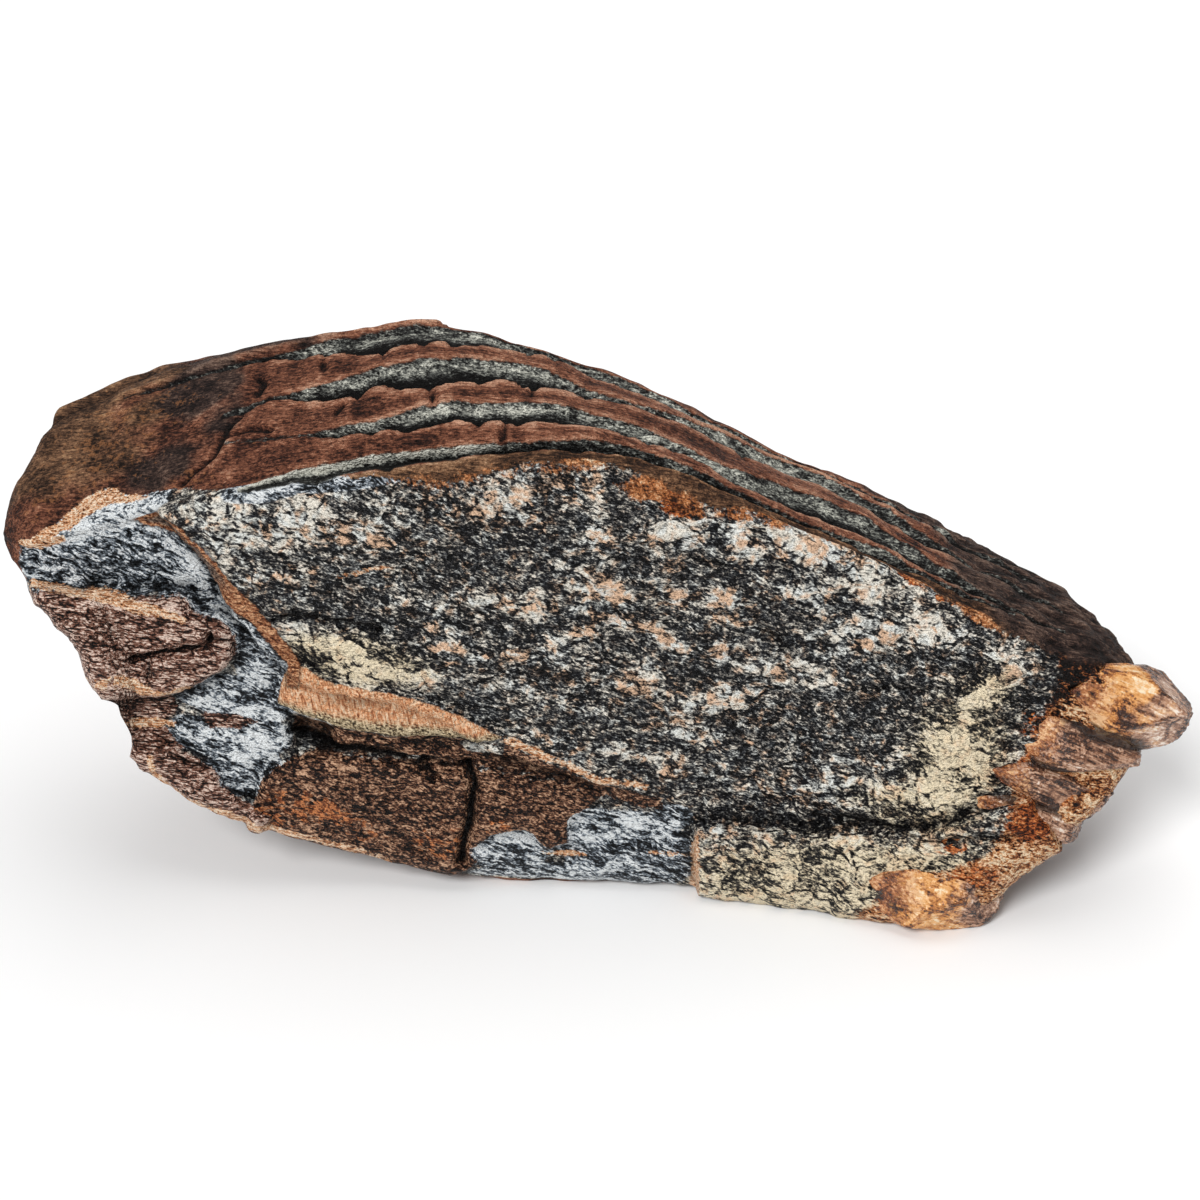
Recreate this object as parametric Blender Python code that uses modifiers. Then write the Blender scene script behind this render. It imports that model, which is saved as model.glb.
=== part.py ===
"""A fossil mammoth tooth: a broken length of one molar, about five plates thick, lying on a small flat spot.

The tooth is one solid. Its skin is a grid wrapped round sections that change along the tooth. Ribs,
ledges, hollows and cracks are pressed into the skin, the finger ends of the plates are fused to its
right end, and the plane of the table cuts the flat spot.
"""

import math

import bmesh
import bpy
import numpy as np
from mathutils import Matrix, Vector, noise

MM = 0.001

# Driving dimensions, in millimetres. X runs along the tooth, the broken face looks towards -Y, Z is up.
# The block has four long edges, each a smooth line through a few points (x, y, z).
CREST = (
    (-113, -6, 67), (-106, -9, 69), (-90, -10, 74), (-67, -11.5, 83), (-46, -12.5, 88), (-24, -13, 91),
    (-5, -13.5, 92), (16, -14.5, 87), (36, -16, 78), (58, -18, 68), (80, -20.5, 56), (104, -22, 47.5),
)
SHOULDER = (
    (-113, 7, 71), (-106, 16, 79), (-96, 24, 82.5), (-84, 30, 85), (-70, 33.5, 87.5), (-50, 35, 91.5),
    (-30, 35.5, 94.5), (-12, 35.5, 88.5), (10, 34.5, 79), (32, 32, 68), (52, 28, 60), (70, 23, 52),
    (86, 17, 45), (104, 5, 40),
)
HEEL = (
    (-113, 5, 63), (-104, 14, 61), (-92, 22, 48), (-80, 26, 33), (-60, 27, 19), (-40, 27, 8), (-15, 26, 1),
    (10, 24, -1), (36, 21, 0), (60, 15, 4), (80, 7, 12), (95, 0, 22), (104, -5, 28),
)
FOOT = (
    (-113, -6, 62), (-104, -13, 62), (-97.5, -17, 57), (-92.5, -19.5, 49), (-90, -21.5, 38), (-87, -22.5, 27),
    (-81, -23, 20.5), (-68, -24.5, 12.5), (-48, -26, 5), (-27, -27, 0), (-5, -27, -1.5), (18, -28, -2),
    (38, -30.5, -2), (56, -35, -1), (72, -35.5, 4), (85, -31, 15), (95, -29, 23), (104, -27, 31),
)
LEFT_END, RIGHT_END = -110.9, 102.0
LEFT_ROUNDING, RIGHT_ROUNDING = 8.0, 13.0
# The middle of the finished tooth's box, which becomes the origin.
MIDDLE_X, MIDDLE_Y = -0.52, -0.81

# How each side of a section bows: points (share of the side, millimetres outwards), from its first
# edge to its next.
FRONT_BOW = ((0.04, 0), (0.2, 0.5), (0.5, -0.8), (0.8, 0.2), (0.965, 0))
TOP_BOW = ((0.05, 0), (0.3, 1.5), (0.65, 2.2), (0.88, 0.8))
BACK_BOW = ((0.08, 0.8), (0.35, 2), (0.65, 1), (0.9, 0))
UNDER_BOW = ((0.1, 0.8), (0.35, 2), (0.65, 2), (0.9, 0.5))

# The plates' edges show as ribs, because the softer stone between them is worn into grooves. Each groove
# is rows of x and its near and far edge, as shares of the way across the top or the underside.
TOP_GROOVES = (
    (
        (-64, -0.03, -0.01), (-50, -0.035, 0.035), (-40, -0.02, 0.05), (-20, 0.012, 0.06), (0, 0.035, 0.1),
        (22, 0.04, 0.085), (40, 0.04, 0.065), (50, 0.03, 0.09), (76, 0.1, 0.12),
    ),
    (
        (-70, 0.26, 0.27), (-60, 0.22, 0.235), (-53, 0.2, 0.215), (-48, 0.18, 0.225), (-40, 0.16, 0.24),
        (-30, 0.17, 0.285), (0, 0.18, 0.3), (20, 0.16, 0.235), (30, 0.13, 0.285), (40, 0.15, 0.32),
        (60, 0.15, 0.25), (86, 0.14, 0.17),
    ),
    (
        (-70, 0.42, 0.44), (-60, 0.455, 0.48), (-50, 0.4, 0.52), (-30, 0.39, 0.565), (-10, 0.43, 0.6),
        (0, 0.44, 0.5), (10, 0.45, 0.5), (22, 0.475, 0.61), (40, 0.49, 0.65), (60, 0.4, 0.5),
        (88, 0.38, 0.41),
    ),
    (
        (-90, 0.77, 0.785), (-78, 0.75, 0.79), (-60, 0.71, 0.82), (-50, 0.7, 0.87), (-30, 0.67, 0.87),
        (-10, 0.72, 0.84), (10, 0.62, 0.76), (40, 0.7, 0.78), (84, 0.6, 0.64),
    ),
)
UNDER_GROOVES = (
    (
        (-84, 0.12, 0.13), (-70, 0.09, 0.19), (-40, 0.13, 0.25), (0, 0.08, 0.2), (40, 0.13, 0.27),
        (66, 0.08, 0.2), (90, 0.12, 0.14),
    ),
    (
        (-72, 0.42, 0.43), (-56, 0.39, 0.49), (-24, 0.44, 0.55), (16, 0.39, 0.53), (54, 0.45, 0.57),
        (88, 0.42, 0.44),
    ),
    (
        (-88, 0.73, 0.74), (-74, 0.7, 0.77), (-34, 0.75, 0.87), (6, 0.69, 0.8), (50, 0.74, 0.85),
        (92, 0.7, 0.72),
    ),
)
# A groove is deepest under its near edge, and its floor rises by this share of the depth across it.
RIB_DEPTH, GROOVE_FLOOR_RISE = 3.2, 0.62
# A rib's far edge, which is a groove's near one, runs in rounded lobes about this long. They are lower on
# the right half.
LOBE_LENGTH, LOBES_UNEVEN = 11, 1.1
LOBES_SINK, LOBES_SINK_LENGTH, LOBES_LOST = 8, 30, 0.7
# The ribs come up out of the smooth rind at the left and sink again towards the finger ends.
RIBS_RISE, RIBS_RISE_LENGTH = -64, 40
RIBS_SINK, RIBS_SINK_LENGTH, RIBS_LOST = 70, 50, 0.55
# A thin sheet of the last plate still covers the far edge of the top and stops short with a step. Its
# near edge is rows of x and the share of the way across the top.
SHEET_FROM, SHEET_TO, SHEET_THICKNESS = -90, -30, 1.3
SHEET_EDGE = ((-92, 0.78), (-70, 0.79), (-60, 0.82), (-50, 0.87), (-40, 0.885), (-26, 0.89))
# The underside is worn smooth round the flat spot.
WORN_X, WORN_RADIUS, WORN_FADE = 10, 42, 30

# Outlines on the broken face, as points (x, z).
MAIN_PLATE = (
    (-85, 80), (-77, 75), (-73, 71), (-70, 64), (-66, 57), (-62, 52), (-56, 46), (-49, 44), (-36, 42),
    (-28, 38), (-22, 32), (-10, 28), (10, 22), (40, 16), (115, 10), (115, 100), (-85, 105),
)
MAIN_PLATE_HEIGHT, MAIN_PLATE_FADE, MAIN_PLATE_FADE_LENGTH = 2.6, 5, 30
LENS = (
    (-106, 68), (-100, 70.5), (-87, 75.5), (-80, 78), (-77, 74), (-72, 69), (-68, 63), (-70, 60.5),
    (-78, 61.5), (-88, 62.5), (-100, 62.4), (-105, 65),
)
BARK_BLOCK = (
    (-112, 62.5), (-98, 62.2), (-83, 61.5), (-76, 61), (-73, 58.5), (-68.5, 56.5), (-66.5, 54), (-66.5, 51),
    (-69, 47.5), (-74, 44.5), (-78, 42), (-85, 41.5), (-92, 43), (-112, 42),
)
FLAKE = (
    (-93, 31), (-80, 31), (-76, 29.5), (-72.5, 27), (-71.5, 24), (-68, 20.5), (-62, 17.5), (-66, 8), (-93, 8),
)
WEDGE = (
    (-57.5, 48), (-55.5, 49.5), (-49, 46.5), (-41.5, 45), (-30, 42), (-24.5, 39.5), (-17.5, 35.2),
    (-24, 34.2), (-36, 34.4), (-49, 36), (-55, 38.5), (-60, 40.8),
)
HOLLOW = ((-58, 37), (-50, 35), (-50, 31), (-57, 31))
BROWN_PLATE = (
    (-64, 24), (-61, 28), (-54, 30.5), (-38, 29), (-25, 27.5), (-12, 25.5), (0, 22.5), (-6, 17), (-6, 12),
    (-10, 10.5), (-14, 14), (-20, 13.5), (-25, 10), (-28, 3), (-40, -4), (-70, 8),
)
RIGHT_BLOCK = ((18.5, 17), (40, 17), (62, 20), (80, 26), (90, 10), (80, -10), (18.5, -10))
# Each ledge: its outline, how proud it stands (or how deep it lies) and the width of its slope.
FRONT_LEDGES = (
    (LENS, -1.8, 3),
    (BARK_BLOCK, 3.4, 2.6),
    (FLAKE, 1.8, 2),
    (WEDGE, 1.6, 3),
    (HOLLOW, -3.5, 3.5),
    (BROWN_PLATE, 1.3, 2),
    (RIGHT_BLOCK, 2.6, 1.6),
)
# Each crack: its points (x, z), its width and its depth.
FRONT_CRACKS = (
    (((-53, 30.3), (-46, 31), (-40, 30), (-34, 28), (-31, 26)), 1.6, 1.8),
    (((-24.7, 27.5), (-23.6, 24), (-24.4, 20), (-25, 16), (-26.5, 10), (-27, 7)), 1.7, 2.2),
    (((-59, 58.5), (-55, 59.5), (-49, 59), (-40, 57)), 1.4, 1.2),
    (((-71, 55), (-71.5, 52.6), (-76, 51.5), (-80, 50.8), (-87, 49)), 1.4, 1.5),
    (((14, 73), (18, 71), (22, 70.5)), 1.4, 1.4),
    (((30, 57), (32.5, 56), (33.5, 54.5)), 2.2, 1.8),
)

# The back is a second broken face, described in the same way.
BACK_PLATE = (
    (-103, 65), (-60, 62), (-20, 60), (20, 48), (60, 40), (90, 40), (60, 75), (-20, 110), (-103, 95),
)
BACK_SCAR = ((-50, 50), (-22, 54), (2, 44), (8, 28), (-8, 16), (-34, 20), (-52, 32))
BACK_FLAKE = ((24, 34), (44, 36), (66, 28), (70, 14), (48, 8), (28, 14))
BACK_LOWER_PLATE = ((-90, 34), (-62, 30), (-30, 14), (-10, 8), (-10, -10), (-90, -10))
BACK_LEDGES = (
    (BACK_PLATE, 2.4, 3),
    (BACK_SCAR, -3.2, 4),
    (BACK_FLAKE, -1.8, 3),
    (BACK_LOWER_PLATE, 1.6, 2.5),
)
BACK_CRACKS = (
    (
        ((-70, 44), (-62, 40), (-52, 41), (-44, 37), (-30, 36), (-22, 39), (-5, 37), (2, 33), (20, 31)),
        1.8, 1.6,
    ),
    (((14, 72), (17, 66), (15, 61), (20, 55), (18, 50)), 1.4, 1.2),
)

# Every outline wavers by this much, over humps of this size. Over the whole tooth there are soft lumps:
# how high they are and how long.
WAVER, WAVER_LENGTH = 0.6, 7
LUMPS = ((0.9, 22), (0.55, 7.5), (0.25, 3.6))

# The finger ends of the front plate: tip x, middle y and z, half depth, half height, fall in degrees.
FRONT_FINGERS = (
    (110.6, -20.5, 41.3, 7.5, 7.8, 16),
    (101.5, -23, 34.6, 6.5, 6, 16),
    (96.5, -25, 27, 6.5, 6, 16),
    (93, -26.5, 21, 6, 5, 14),
    (82, -29.5, 12.8, 6.5, 6, 12),
    (76.5, -33.5, 7, 7.5, 7.4, 4),
)
# Flats broken off some of them, by the finger's number: the way each flat faces and how far out it lies.
FLATS = {
    0: (((-0.15, -0.88, 0.45), 0.72), ((0.45, -0.85, -0.25), 0.8), ((0.62, 0, 0.78), 0.86)),
    1: (((0.3, -0.8, 0.5), 0.8), ((0.55, -0.5, -0.65), 0.84)),
    2: (((0.25, -0.9, 0.1), 0.82),),
    4: (((0.3, -0.8, -0.5), 0.82),),
    5: (((-0.1, -0.8, 0.6), 0.8), ((0.3, -0.9, -0.2), 0.82)),
}
# Each finger also has this many shallow chips, as far out as this.
CHIPS, CHIP_REACH = 14, (0.82, 1.02)
# The rows of finger ends on the plates behind: y of the top one, then (tip x, middle z) from it down.
PLATES_BEHIND = (
    (-9.5, ((104.5, 37.5), (99, 28), (89, 18.5), (76, 9))),
    (3, ((102, 36), (96, 26), (86, 16), (74, 7.5))),
    (14, ((96, 34.5), (89, 25), (80, 15.5))),
)
# Like the broken face, each row leans: this much towards the front for each millimetre down.
ROW_LEAN = 0.33
HIDDEN_HALF_DEPTH, HIDDEN_HALF_HEIGHT, HIDDEN_FALL = 6.4, 5.6, 14
FINGER_LENGTH = 27.0
# The lumps on a finger, as shares of its size, and how close together they are.
FINGER_LUMP, FINGER_BUMP = (0.10, 1.7), (0.05, 4.5)
# 2 is an egg, and more than 2 is squarer.
SQUARENESS = 2.8

# How fine the skin is before it is thinned, and what it is thinned to.
RINGS, POINTS_IN_RING = 300, 216
FUSING_VOXEL = 1.1
MOST_FACES = 9300
# The block under the table plane, in metres.
TABLE_SIZE = (0.4, 0.2, 0.02)

STONE_BROWN = (0.085, 0.045, 0.032, 1)


def smooth_step(value, width):
    """Rises from 0 to 1 while the value goes from minus half the width to plus half of it."""
    share = np.clip(value / width + 0.5, 0, 1)
    return share * share * (3 - 2 * share)


def ripples(points, size, seed):
    """Smooth noise from -1 to 1 at each point, with humps of the given size."""
    start = Vector((17.3 * seed, 5.1 * seed, 9.7 * seed))
    return np.array([noise.noise(Vector(point) / size + start) for point in points])


def on_smooth_line(knots, x):
    """The values at each x on the smooth line through the knots (x, value, value)."""
    knots = np.array(knots, float)
    at, values = knots[:, 0], knots[:, 1:]
    slopes = np.gradient(values, at, axis=0)
    i = np.clip(np.searchsorted(at, x, side="right") - 1, 0, len(at) - 2)
    gap = (at[i + 1] - at[i])[:, None]
    t = (x[:, None] - at[i][:, None]) / gap
    rise = values[i + 1] - values[i]
    start, end = slopes[i] * gap, slopes[i + 1] * gap
    return values[i] + t * (start + t * (3 * rise - 2 * start - end + t * (start + end - 2 * rise)))


def section_frame(x):
    """Control points round the section at each x, and how far round each one is: 0 is the foot, 1 the
    crest, 2 the shoulder, 3 the heel and 4 the foot again."""
    edges = [on_smooth_line(line, x) for line in (FOOT, CREST, SHOULDER, HEEL, FOOT)]
    controls, way_round = [], []
    for side, bow in enumerate((FRONT_BOW, TOP_BOW, BACK_BOW, UNDER_BOW)):
        along = edges[side + 1] - edges[side]
        outwards = np.stack([-along[:, 1], along[:, 0]], axis=1)
        outwards /= np.linalg.norm(along, axis=1)[:, None]
        for share, proud in bow:
            controls.append(edges[side] + along * share + outwards * proud)
            way_round.append(side + share)
    return np.array(controls), np.array(way_round)


def skin(x, steps):
    """Points (ring, step, xyz) of the bare form, and how far round each step is. Each section is the
    closed cubic B-spline of its control points, and the two ends are rounded off."""
    controls, way_round = section_frame(x)
    count = len(controls)
    lap = 4
    t = np.linspace(0, count, steps)
    i = np.minimum(t.astype(int), count - 1)
    t = t - i
    weights = (
        (1 - t) ** 3 / 6,
        (3 * t**3 - 6 * t**2 + 4) / 6,
        (-3 * t**3 + 3 * t**2 + 3 * t + 1) / 6,
        t**3 / 6,
    )
    places, rounds = 0, 0
    for offset, weight in zip((-1, 0, 1, 2), weights):
        turn, which = np.divmod(i + offset, count)
        places = places + controls[which] * weight[:, None, None]
        rounds = rounds + (way_round[which] + lap * turn) * weight
    left = np.clip((x - LEFT_END) / LEFT_ROUNDING, 0, 1)
    right = np.clip((RIGHT_END - x) / RIGHT_ROUNDING, 0, 1)
    size = np.sqrt((1 - (1 - left) ** 2) * (1 - (1 - right) ** 2))
    middle = places.mean(axis=0)
    places = middle + (places - middle) * size[None, :, None]
    points = np.empty((len(x), steps, 3))
    points[..., 0] = x[:, None]
    points[..., 1:] = places.transpose(1, 0, 2)
    return points, rounds


def normals_of(points):
    """Outward normals of a skin that closes on itself."""
    wrapped = np.concatenate([points[:, -2:-1], points, points[:, 1:2]], axis=1)
    along = np.gradient(points, axis=0)
    around = np.gradient(wrapped, axis=1)[:, 1:-1]
    normals = np.cross(along, around)
    return normals / np.maximum(np.linalg.norm(normals, axis=2), 1e-9)[..., None]


def depth_inside(across, up, outline):
    """How far each point lies inside a closed outline, negative where it is outside."""
    nearest = np.full(across.shape, np.inf)
    inside = np.zeros(across.shape, bool)
    for (ax, az), (bx, bz) in zip(outline, outline[1:] + outline[:1]):
        nearest = np.minimum(nearest, distance_to_line(across, up, ((ax, az), (bx, bz))))
        crosses = (az > up) != (bz > up)
        level = bz - az if bz != az else 1
        inside ^= crosses & (across < (bx - ax) * (up - az) / level + ax)
    return np.where(inside, nearest, -nearest)


def distance_to_line(across, up, line):
    """How far each point lies from an open line."""
    nearest = np.full(across.shape, np.inf)
    for (ax, az), (bx, bz) in zip(line, line[1:]):
        run, rise = bx - ax, bz - az
        share = np.clip(((across - ax) * run + (up - az) * rise) / (run * run + rise * rise), 0, 1)
        nearest = np.minimum(nearest, np.hypot(across - ax - share * run, up - az - share * rise))
    return nearest


def lobes(x, seed):
    """Rounded lobes along the tooth with sharp notches between them, from 0 in a notch to 1 on a lobe."""
    along = np.stack([x, 0 * x, 0 * x], axis=1)
    phase = x / LOBE_LENGTH + LOBES_UNEVEN * ripples(along, 14, seed) + 0.37 * seed
    sunk = 1 - LOBES_LOST * smooth_step(x - LOBES_SINK, LOBES_SINK_LENGTH)
    return sunk * np.abs(np.sin(math.pi * phase)) ** 0.6


def groove_relief(x, across, width, grooves, ragged):
    """The grooves between the ribs, in millimetres below them: steep on the near side, soft on the far."""
    along = np.stack([x, 0 * x, 0 * x], axis=1)
    height = np.zeros(across.shape)
    for number, rows in enumerate(grooves):
        near, far = on_smooth_line(rows, np.clip(x, rows[0][0], rows[-1][0])).T
        room = smooth_step((far - near) * width - 3, 4)
        near = near * width + ragged * room * (2.1 * lobes(x, 20 + number) - 1.5)
        far = far * width + 0.5 * ragged * room * ripples(along, 5, 30 + number)
        within = np.minimum(across - near, far - across)
        within = np.minimum(within, np.minimum(x - rows[0][0], rows[-1][0] - x))
        over = np.clip((across - near) / np.maximum(far - near, 0.3), 0, 1)
        height = np.minimum(height, -smooth_step(within - 0.4, 1.4) * (1 - GROOVE_FLOOR_RISE * over))
    return RIB_DEPTH * height


def broken_relief(x, z, ledges, cracks):
    """Ledges, hollows and cracks of a broken face."""
    height = np.zeros(x.shape)
    for outline, proud, slope in ledges:
        height += proud * smooth_step(depth_inside(x, z, outline), slope)
    for line, width, depth in cracks:
        height -= depth * smooth_step(width / 2 - distance_to_line(x, z, line), width)
    return height


def front_relief(x, z):
    """The broken face. The main plate's edge is a step at the left and fades out to the right."""
    faded = smooth_step(x - MAIN_PLATE_FADE, MAIN_PLATE_FADE_LENGTH)
    step = smooth_step(depth_inside(x, z, MAIN_PLATE), 2.5)
    plate = MAIN_PLATE_HEIGHT * (step * (1 - faded) + 0.5 * faded)
    return plate + broken_relief(x, z, FRONT_LEDGES, FRONT_CRACKS)


def relief(points, rounds):
    """How far each point of the bare form moves outwards, in millimetres."""
    flat = points.reshape(-1, 3)
    x, y, z = flat.T
    way = np.broadcast_to(rounds % 4, points.shape[:2]).reshape(-1)
    crest, shoulder = (on_smooth_line(line, x) for line in (CREST, SHOULDER))
    heel, foot = (on_smooth_line(line, x) for line in (HEEL, FOOT))
    front_width = np.linalg.norm(crest - foot, axis=1)
    top_width = np.linalg.norm(shoulder - crest, axis=1)
    under_width = np.linalg.norm(foot - heel, axis=1)
    wobble_x = x + WAVER * ripples(flat, WAVER_LENGTH, 1)
    wobble_z = z + WAVER * ripples(flat, WAVER_LENGTH, 2)

    rise = 0.2 + 0.8 * smooth_step(x - RIBS_RISE, RIBS_RISE_LENGTH)
    rise *= 1 - RIBS_LOST * smooth_step(x - RIBS_SINK, RIBS_SINK_LENGTH)
    across_top = (way - 1) * np.where(way > 1, top_width, front_width)
    top = rise * groove_relief(x, across_top, top_width, TOP_GROOVES, 1)
    top *= (way > 0.9) & (way < 2.2)
    edge = np.interp(x, *np.array(SHEET_EDGE).T)
    sheet = smooth_step(across_top - edge * top_width, 1.2) * (way > 1.5)
    sheet *= smooth_step(SHEET_TO - x, 1.2) * smooth_step(x - SHEET_FROM, 12) * smooth_step(2.4 - way, 0.3)
    worn = smooth_step(WORN_RADIUS - np.hypot(x - WORN_X, y), WORN_FADE)
    under = rise * groove_relief(x, (way - 3) * under_width, under_width, UNDER_GROOVES, 0.6)
    under *= (way > 3) * (1 - worn)

    front = smooth_step(0.5 - np.abs(way - 0.5), 0.06) * front_relief(wobble_x, wobble_z)
    back = smooth_step(0.5 - np.abs(way - 2.5), 0.10) * broken_relief(
        wobble_x, wobble_z, BACK_LEDGES, BACK_CRACKS
    )
    lumps = sum(high * ripples(flat, length, 3 + number) for number, (high, length) in enumerate(LUMPS))
    height = front + back + top + under + SHEET_THICKNESS * sheet + lumps
    return height.reshape(points.shape[:2])


def wrapped_body():
    """The block: a grid whose rows run along the tooth and whose columns wrap round it."""
    body = bmesh.new()
    bmesh.ops.create_grid(body, x_segments=RINGS - 1, y_segments=POINTS_IN_RING - 1, size=1)
    grid = sorted(body.verts, key=lambda vert: (round(vert.co.x, 6), round(vert.co.y, 6)))
    spread = np.linspace(-1, 1, RINGS)
    spread = 0.7 * spread + 0.3 * np.sin(spread * math.pi / 2)
    x = LEFT_END + (RIGHT_END - LEFT_END) * (spread + 1) / 2
    points, rounds = skin(x, POINTS_IN_RING)
    points += normals_of(points) * relief(points, rounds)[..., None]
    points[0] = points[0].mean(axis=0)
    points[-1] = points[-1].mean(axis=0)
    for vert, place in zip(grid, points.reshape(-1, 3)):
        vert.co = place
    bmesh.ops.remove_doubles(body, verts=body.verts, dist=0.001)
    bmesh.ops.recalc_face_normals(body, faces=body.faces)
    return body


def add_finger(body, number, tip, y, z, half_depth, half_height, fall):
    """One finger end: a squared, lumpy egg with flat chips broken off, sunk in the block behind it."""
    egg = bmesh.ops.create_icosphere(body, subdivisions=5, radius=1)["verts"]
    size = Matrix.Diagonal((FINGER_LENGTH / 2, half_depth, half_height, 1))
    turn = Matrix.Rotation(math.radians(fall), 4, "Y")
    dice = np.random.default_rng(60 + number)
    chips = [(Vector(dice.normal(size=3)).normalized(), dice.uniform(*CHIP_REACH)) for _ in range(CHIPS)]
    chips += [(Vector(direction).normalized(), reach) for direction, reach in FLATS.get(number, ())]
    (lump_height, lump_pace), (bump_height, bump_pace) = FINGER_LUMP, FINGER_BUMP
    for vert in egg:
        lump = lump_height * noise.noise(vert.co * lump_pace + Vector((0, 0, 3 * number)))
        lump += bump_height * noise.noise(vert.co * bump_pace + Vector((number, 0, 0)))
        squared = sum(abs(axis) ** SQUARENESS for axis in vert.co) ** (-1 / SQUARENESS)
        vert.co *= squared * (1 + lump)
        for direction, reach in chips:
            vert.co -= direction * max(0, vert.co.dot(direction) - reach)
    middle = Matrix.Translation((tip - FINGER_LENGTH / 2, y, z))
    bmesh.ops.transform(body, matrix=middle @ turn @ size, verts=egg)


def add_fingers(body):
    number = 0
    for finger in FRONT_FINGERS:
        add_finger(body, number, *finger)
        number += 1
    for top_y, row in PLATES_BEHIND:
        top_z = row[0][1]
        for tip, z in row:
            y = top_y - ROW_LEAN * (top_z - z)
            add_finger(body, number, tip, y, z, HIDDEN_HALF_DEPTH, HIDDEN_HALF_HEIGHT, HIDDEN_FALL)
            number += 1


def stone_material():
    material = bpy.data.materials.new("fossil stone")
    material.use_nodes = True
    surface = material.node_tree.nodes["Principled BSDF"]
    surface.inputs["Base Color"].default_value = STONE_BROWN
    surface.inputs["Roughness"].default_value = 0.55
    surface.inputs["Metallic"].default_value = 0
    return material


def table_cutter(collection):
    """A block whose top is the table: what lies below it is cut away and leaves the flat spot."""
    bpy.ops.mesh.primitive_cube_add(size=1)
    cutter = bpy.context.active_object
    cutter.name = "table plane"
    cutter.scale = TABLE_SIZE
    cutter.location = (0, 0, -TABLE_SIZE[2] / 2)
    cutter.display_type = "WIRE"
    cutter.hide_render = True
    for holder in list(cutter.users_collection):
        holder.objects.unlink(cutter)
    collection.objects.link(cutter)
    return cutter


def build():
    for leftover in list(bpy.data.objects):
        bpy.data.objects.remove(leftover)
    parts = bpy.data.collections.new("fossil mammoth tooth")
    cutters = bpy.data.collections.new("cutters")
    for collection in (parts, cutters):
        bpy.context.scene.collection.children.link(collection)

    body = wrapped_body()
    add_fingers(body)
    bmesh.ops.translate(body, vec=(-MIDDLE_X, -MIDDLE_Y, 0), verts=body.verts)
    bmesh.ops.scale(body, vec=(MM, MM, MM), verts=body.verts)
    mesh = bpy.data.meshes.new("mammoth_tooth")
    body.to_mesh(mesh)
    body.free()
    tooth = bpy.data.objects.new("mammoth_tooth", mesh)
    tooth.data.materials.append(stone_material())
    parts.objects.link(tooth)

    fuse = tooth.modifiers.new("fuse", "REMESH")
    fuse.mode = "VOXEL"
    fuse.voxel_size = FUSING_VOXEL * MM
    graph = bpy.context.evaluated_depsgraph_get()
    fused = tooth.evaluated_get(graph).data
    triangles = sum(len(face.vertices) - 2 for face in fused.polygons)
    thin = tooth.modifiers.new("thin out", "DECIMATE")
    thin.ratio = MOST_FACES / triangles
    rest = tooth.modifiers.new("flat spot", "BOOLEAN")
    rest.operation = "DIFFERENCE"
    rest.object = table_cutter(cutters)


build()
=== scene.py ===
import math

import bmesh
import bpy
import numpy as np
from mathutils import Matrix, Vector, noise


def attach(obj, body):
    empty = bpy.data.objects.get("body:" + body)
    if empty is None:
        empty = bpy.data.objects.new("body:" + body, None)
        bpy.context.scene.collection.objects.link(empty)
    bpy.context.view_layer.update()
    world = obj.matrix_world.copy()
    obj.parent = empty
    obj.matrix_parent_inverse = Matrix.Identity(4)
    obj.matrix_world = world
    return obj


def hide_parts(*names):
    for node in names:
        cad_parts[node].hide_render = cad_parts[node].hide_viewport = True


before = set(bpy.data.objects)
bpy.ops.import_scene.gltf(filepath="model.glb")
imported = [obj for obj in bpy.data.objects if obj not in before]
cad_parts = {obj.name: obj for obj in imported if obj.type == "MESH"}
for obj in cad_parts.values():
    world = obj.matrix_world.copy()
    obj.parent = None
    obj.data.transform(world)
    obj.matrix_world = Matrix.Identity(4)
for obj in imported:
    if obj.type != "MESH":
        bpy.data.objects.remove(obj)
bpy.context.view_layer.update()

# The viewing angle: the tooth is seen from in front of its broken face and from well above it, so that
# the ribbed top shows as well. The camera aims at the middle of the tooth.
MM = 0.001
LOOKING_DOWN = math.radians(35)
AIM = Vector((0.52, 0.81, 50)) * MM
DISTANCE = 445 * MM
camera = bpy.data.objects.new("camera", bpy.data.cameras.new("camera"))
camera.data.lens = 70
camera.data.sensor_width = 36
camera.data.clip_start = 0.01
camera.location = AIM + Vector((0, -math.cos(LOOKING_DOWN), math.sin(LOOKING_DOWN))) * DISTANCE
camera.rotation_euler = (math.pi / 2 - LOOKING_DOWN, 0, 0)
bpy.context.scene.collection.objects.link(camera)
bpy.context.scene.camera = camera

# The block: a broken length of one molar, all of one mineralised stone. It is a skin wrapped round
# sections that change along the tooth, held by four long edges. Lengths are in millimetres: X runs
# along the tooth, the broken face looks towards -Y, and Z is up.
CREST = (
    (-113, -6, 67), (-106, -9, 69), (-90, -10, 74), (-67, -11.5, 83), (-46, -12.5, 88), (-24, -13, 91),
    (-5, -13.5, 92), (16, -14.5, 87), (36, -16, 78), (58, -18, 68), (80, -20.5, 56), (104, -22, 47.5),
)
SHOULDER = (
    (-113, 7, 71), (-106, 16, 79), (-96, 24, 82.5), (-84, 30, 85), (-70, 33.5, 87.5), (-50, 35, 91.5),
    (-30, 35.5, 94.5), (-12, 35.5, 88.5), (10, 34.5, 79), (32, 32, 68), (52, 28, 60), (70, 23, 52),
    (86, 17, 45), (104, 5, 40),
)
HEEL = (
    (-113, 5, 63), (-104, 14, 61), (-92, 22, 48), (-80, 26, 33), (-60, 27, 19), (-40, 27, 8), (-15, 26, 1),
    (10, 24, -1), (36, 21, 0), (60, 15, 4), (80, 7, 12), (95, 0, 22), (104, -5, 28),
)
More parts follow.
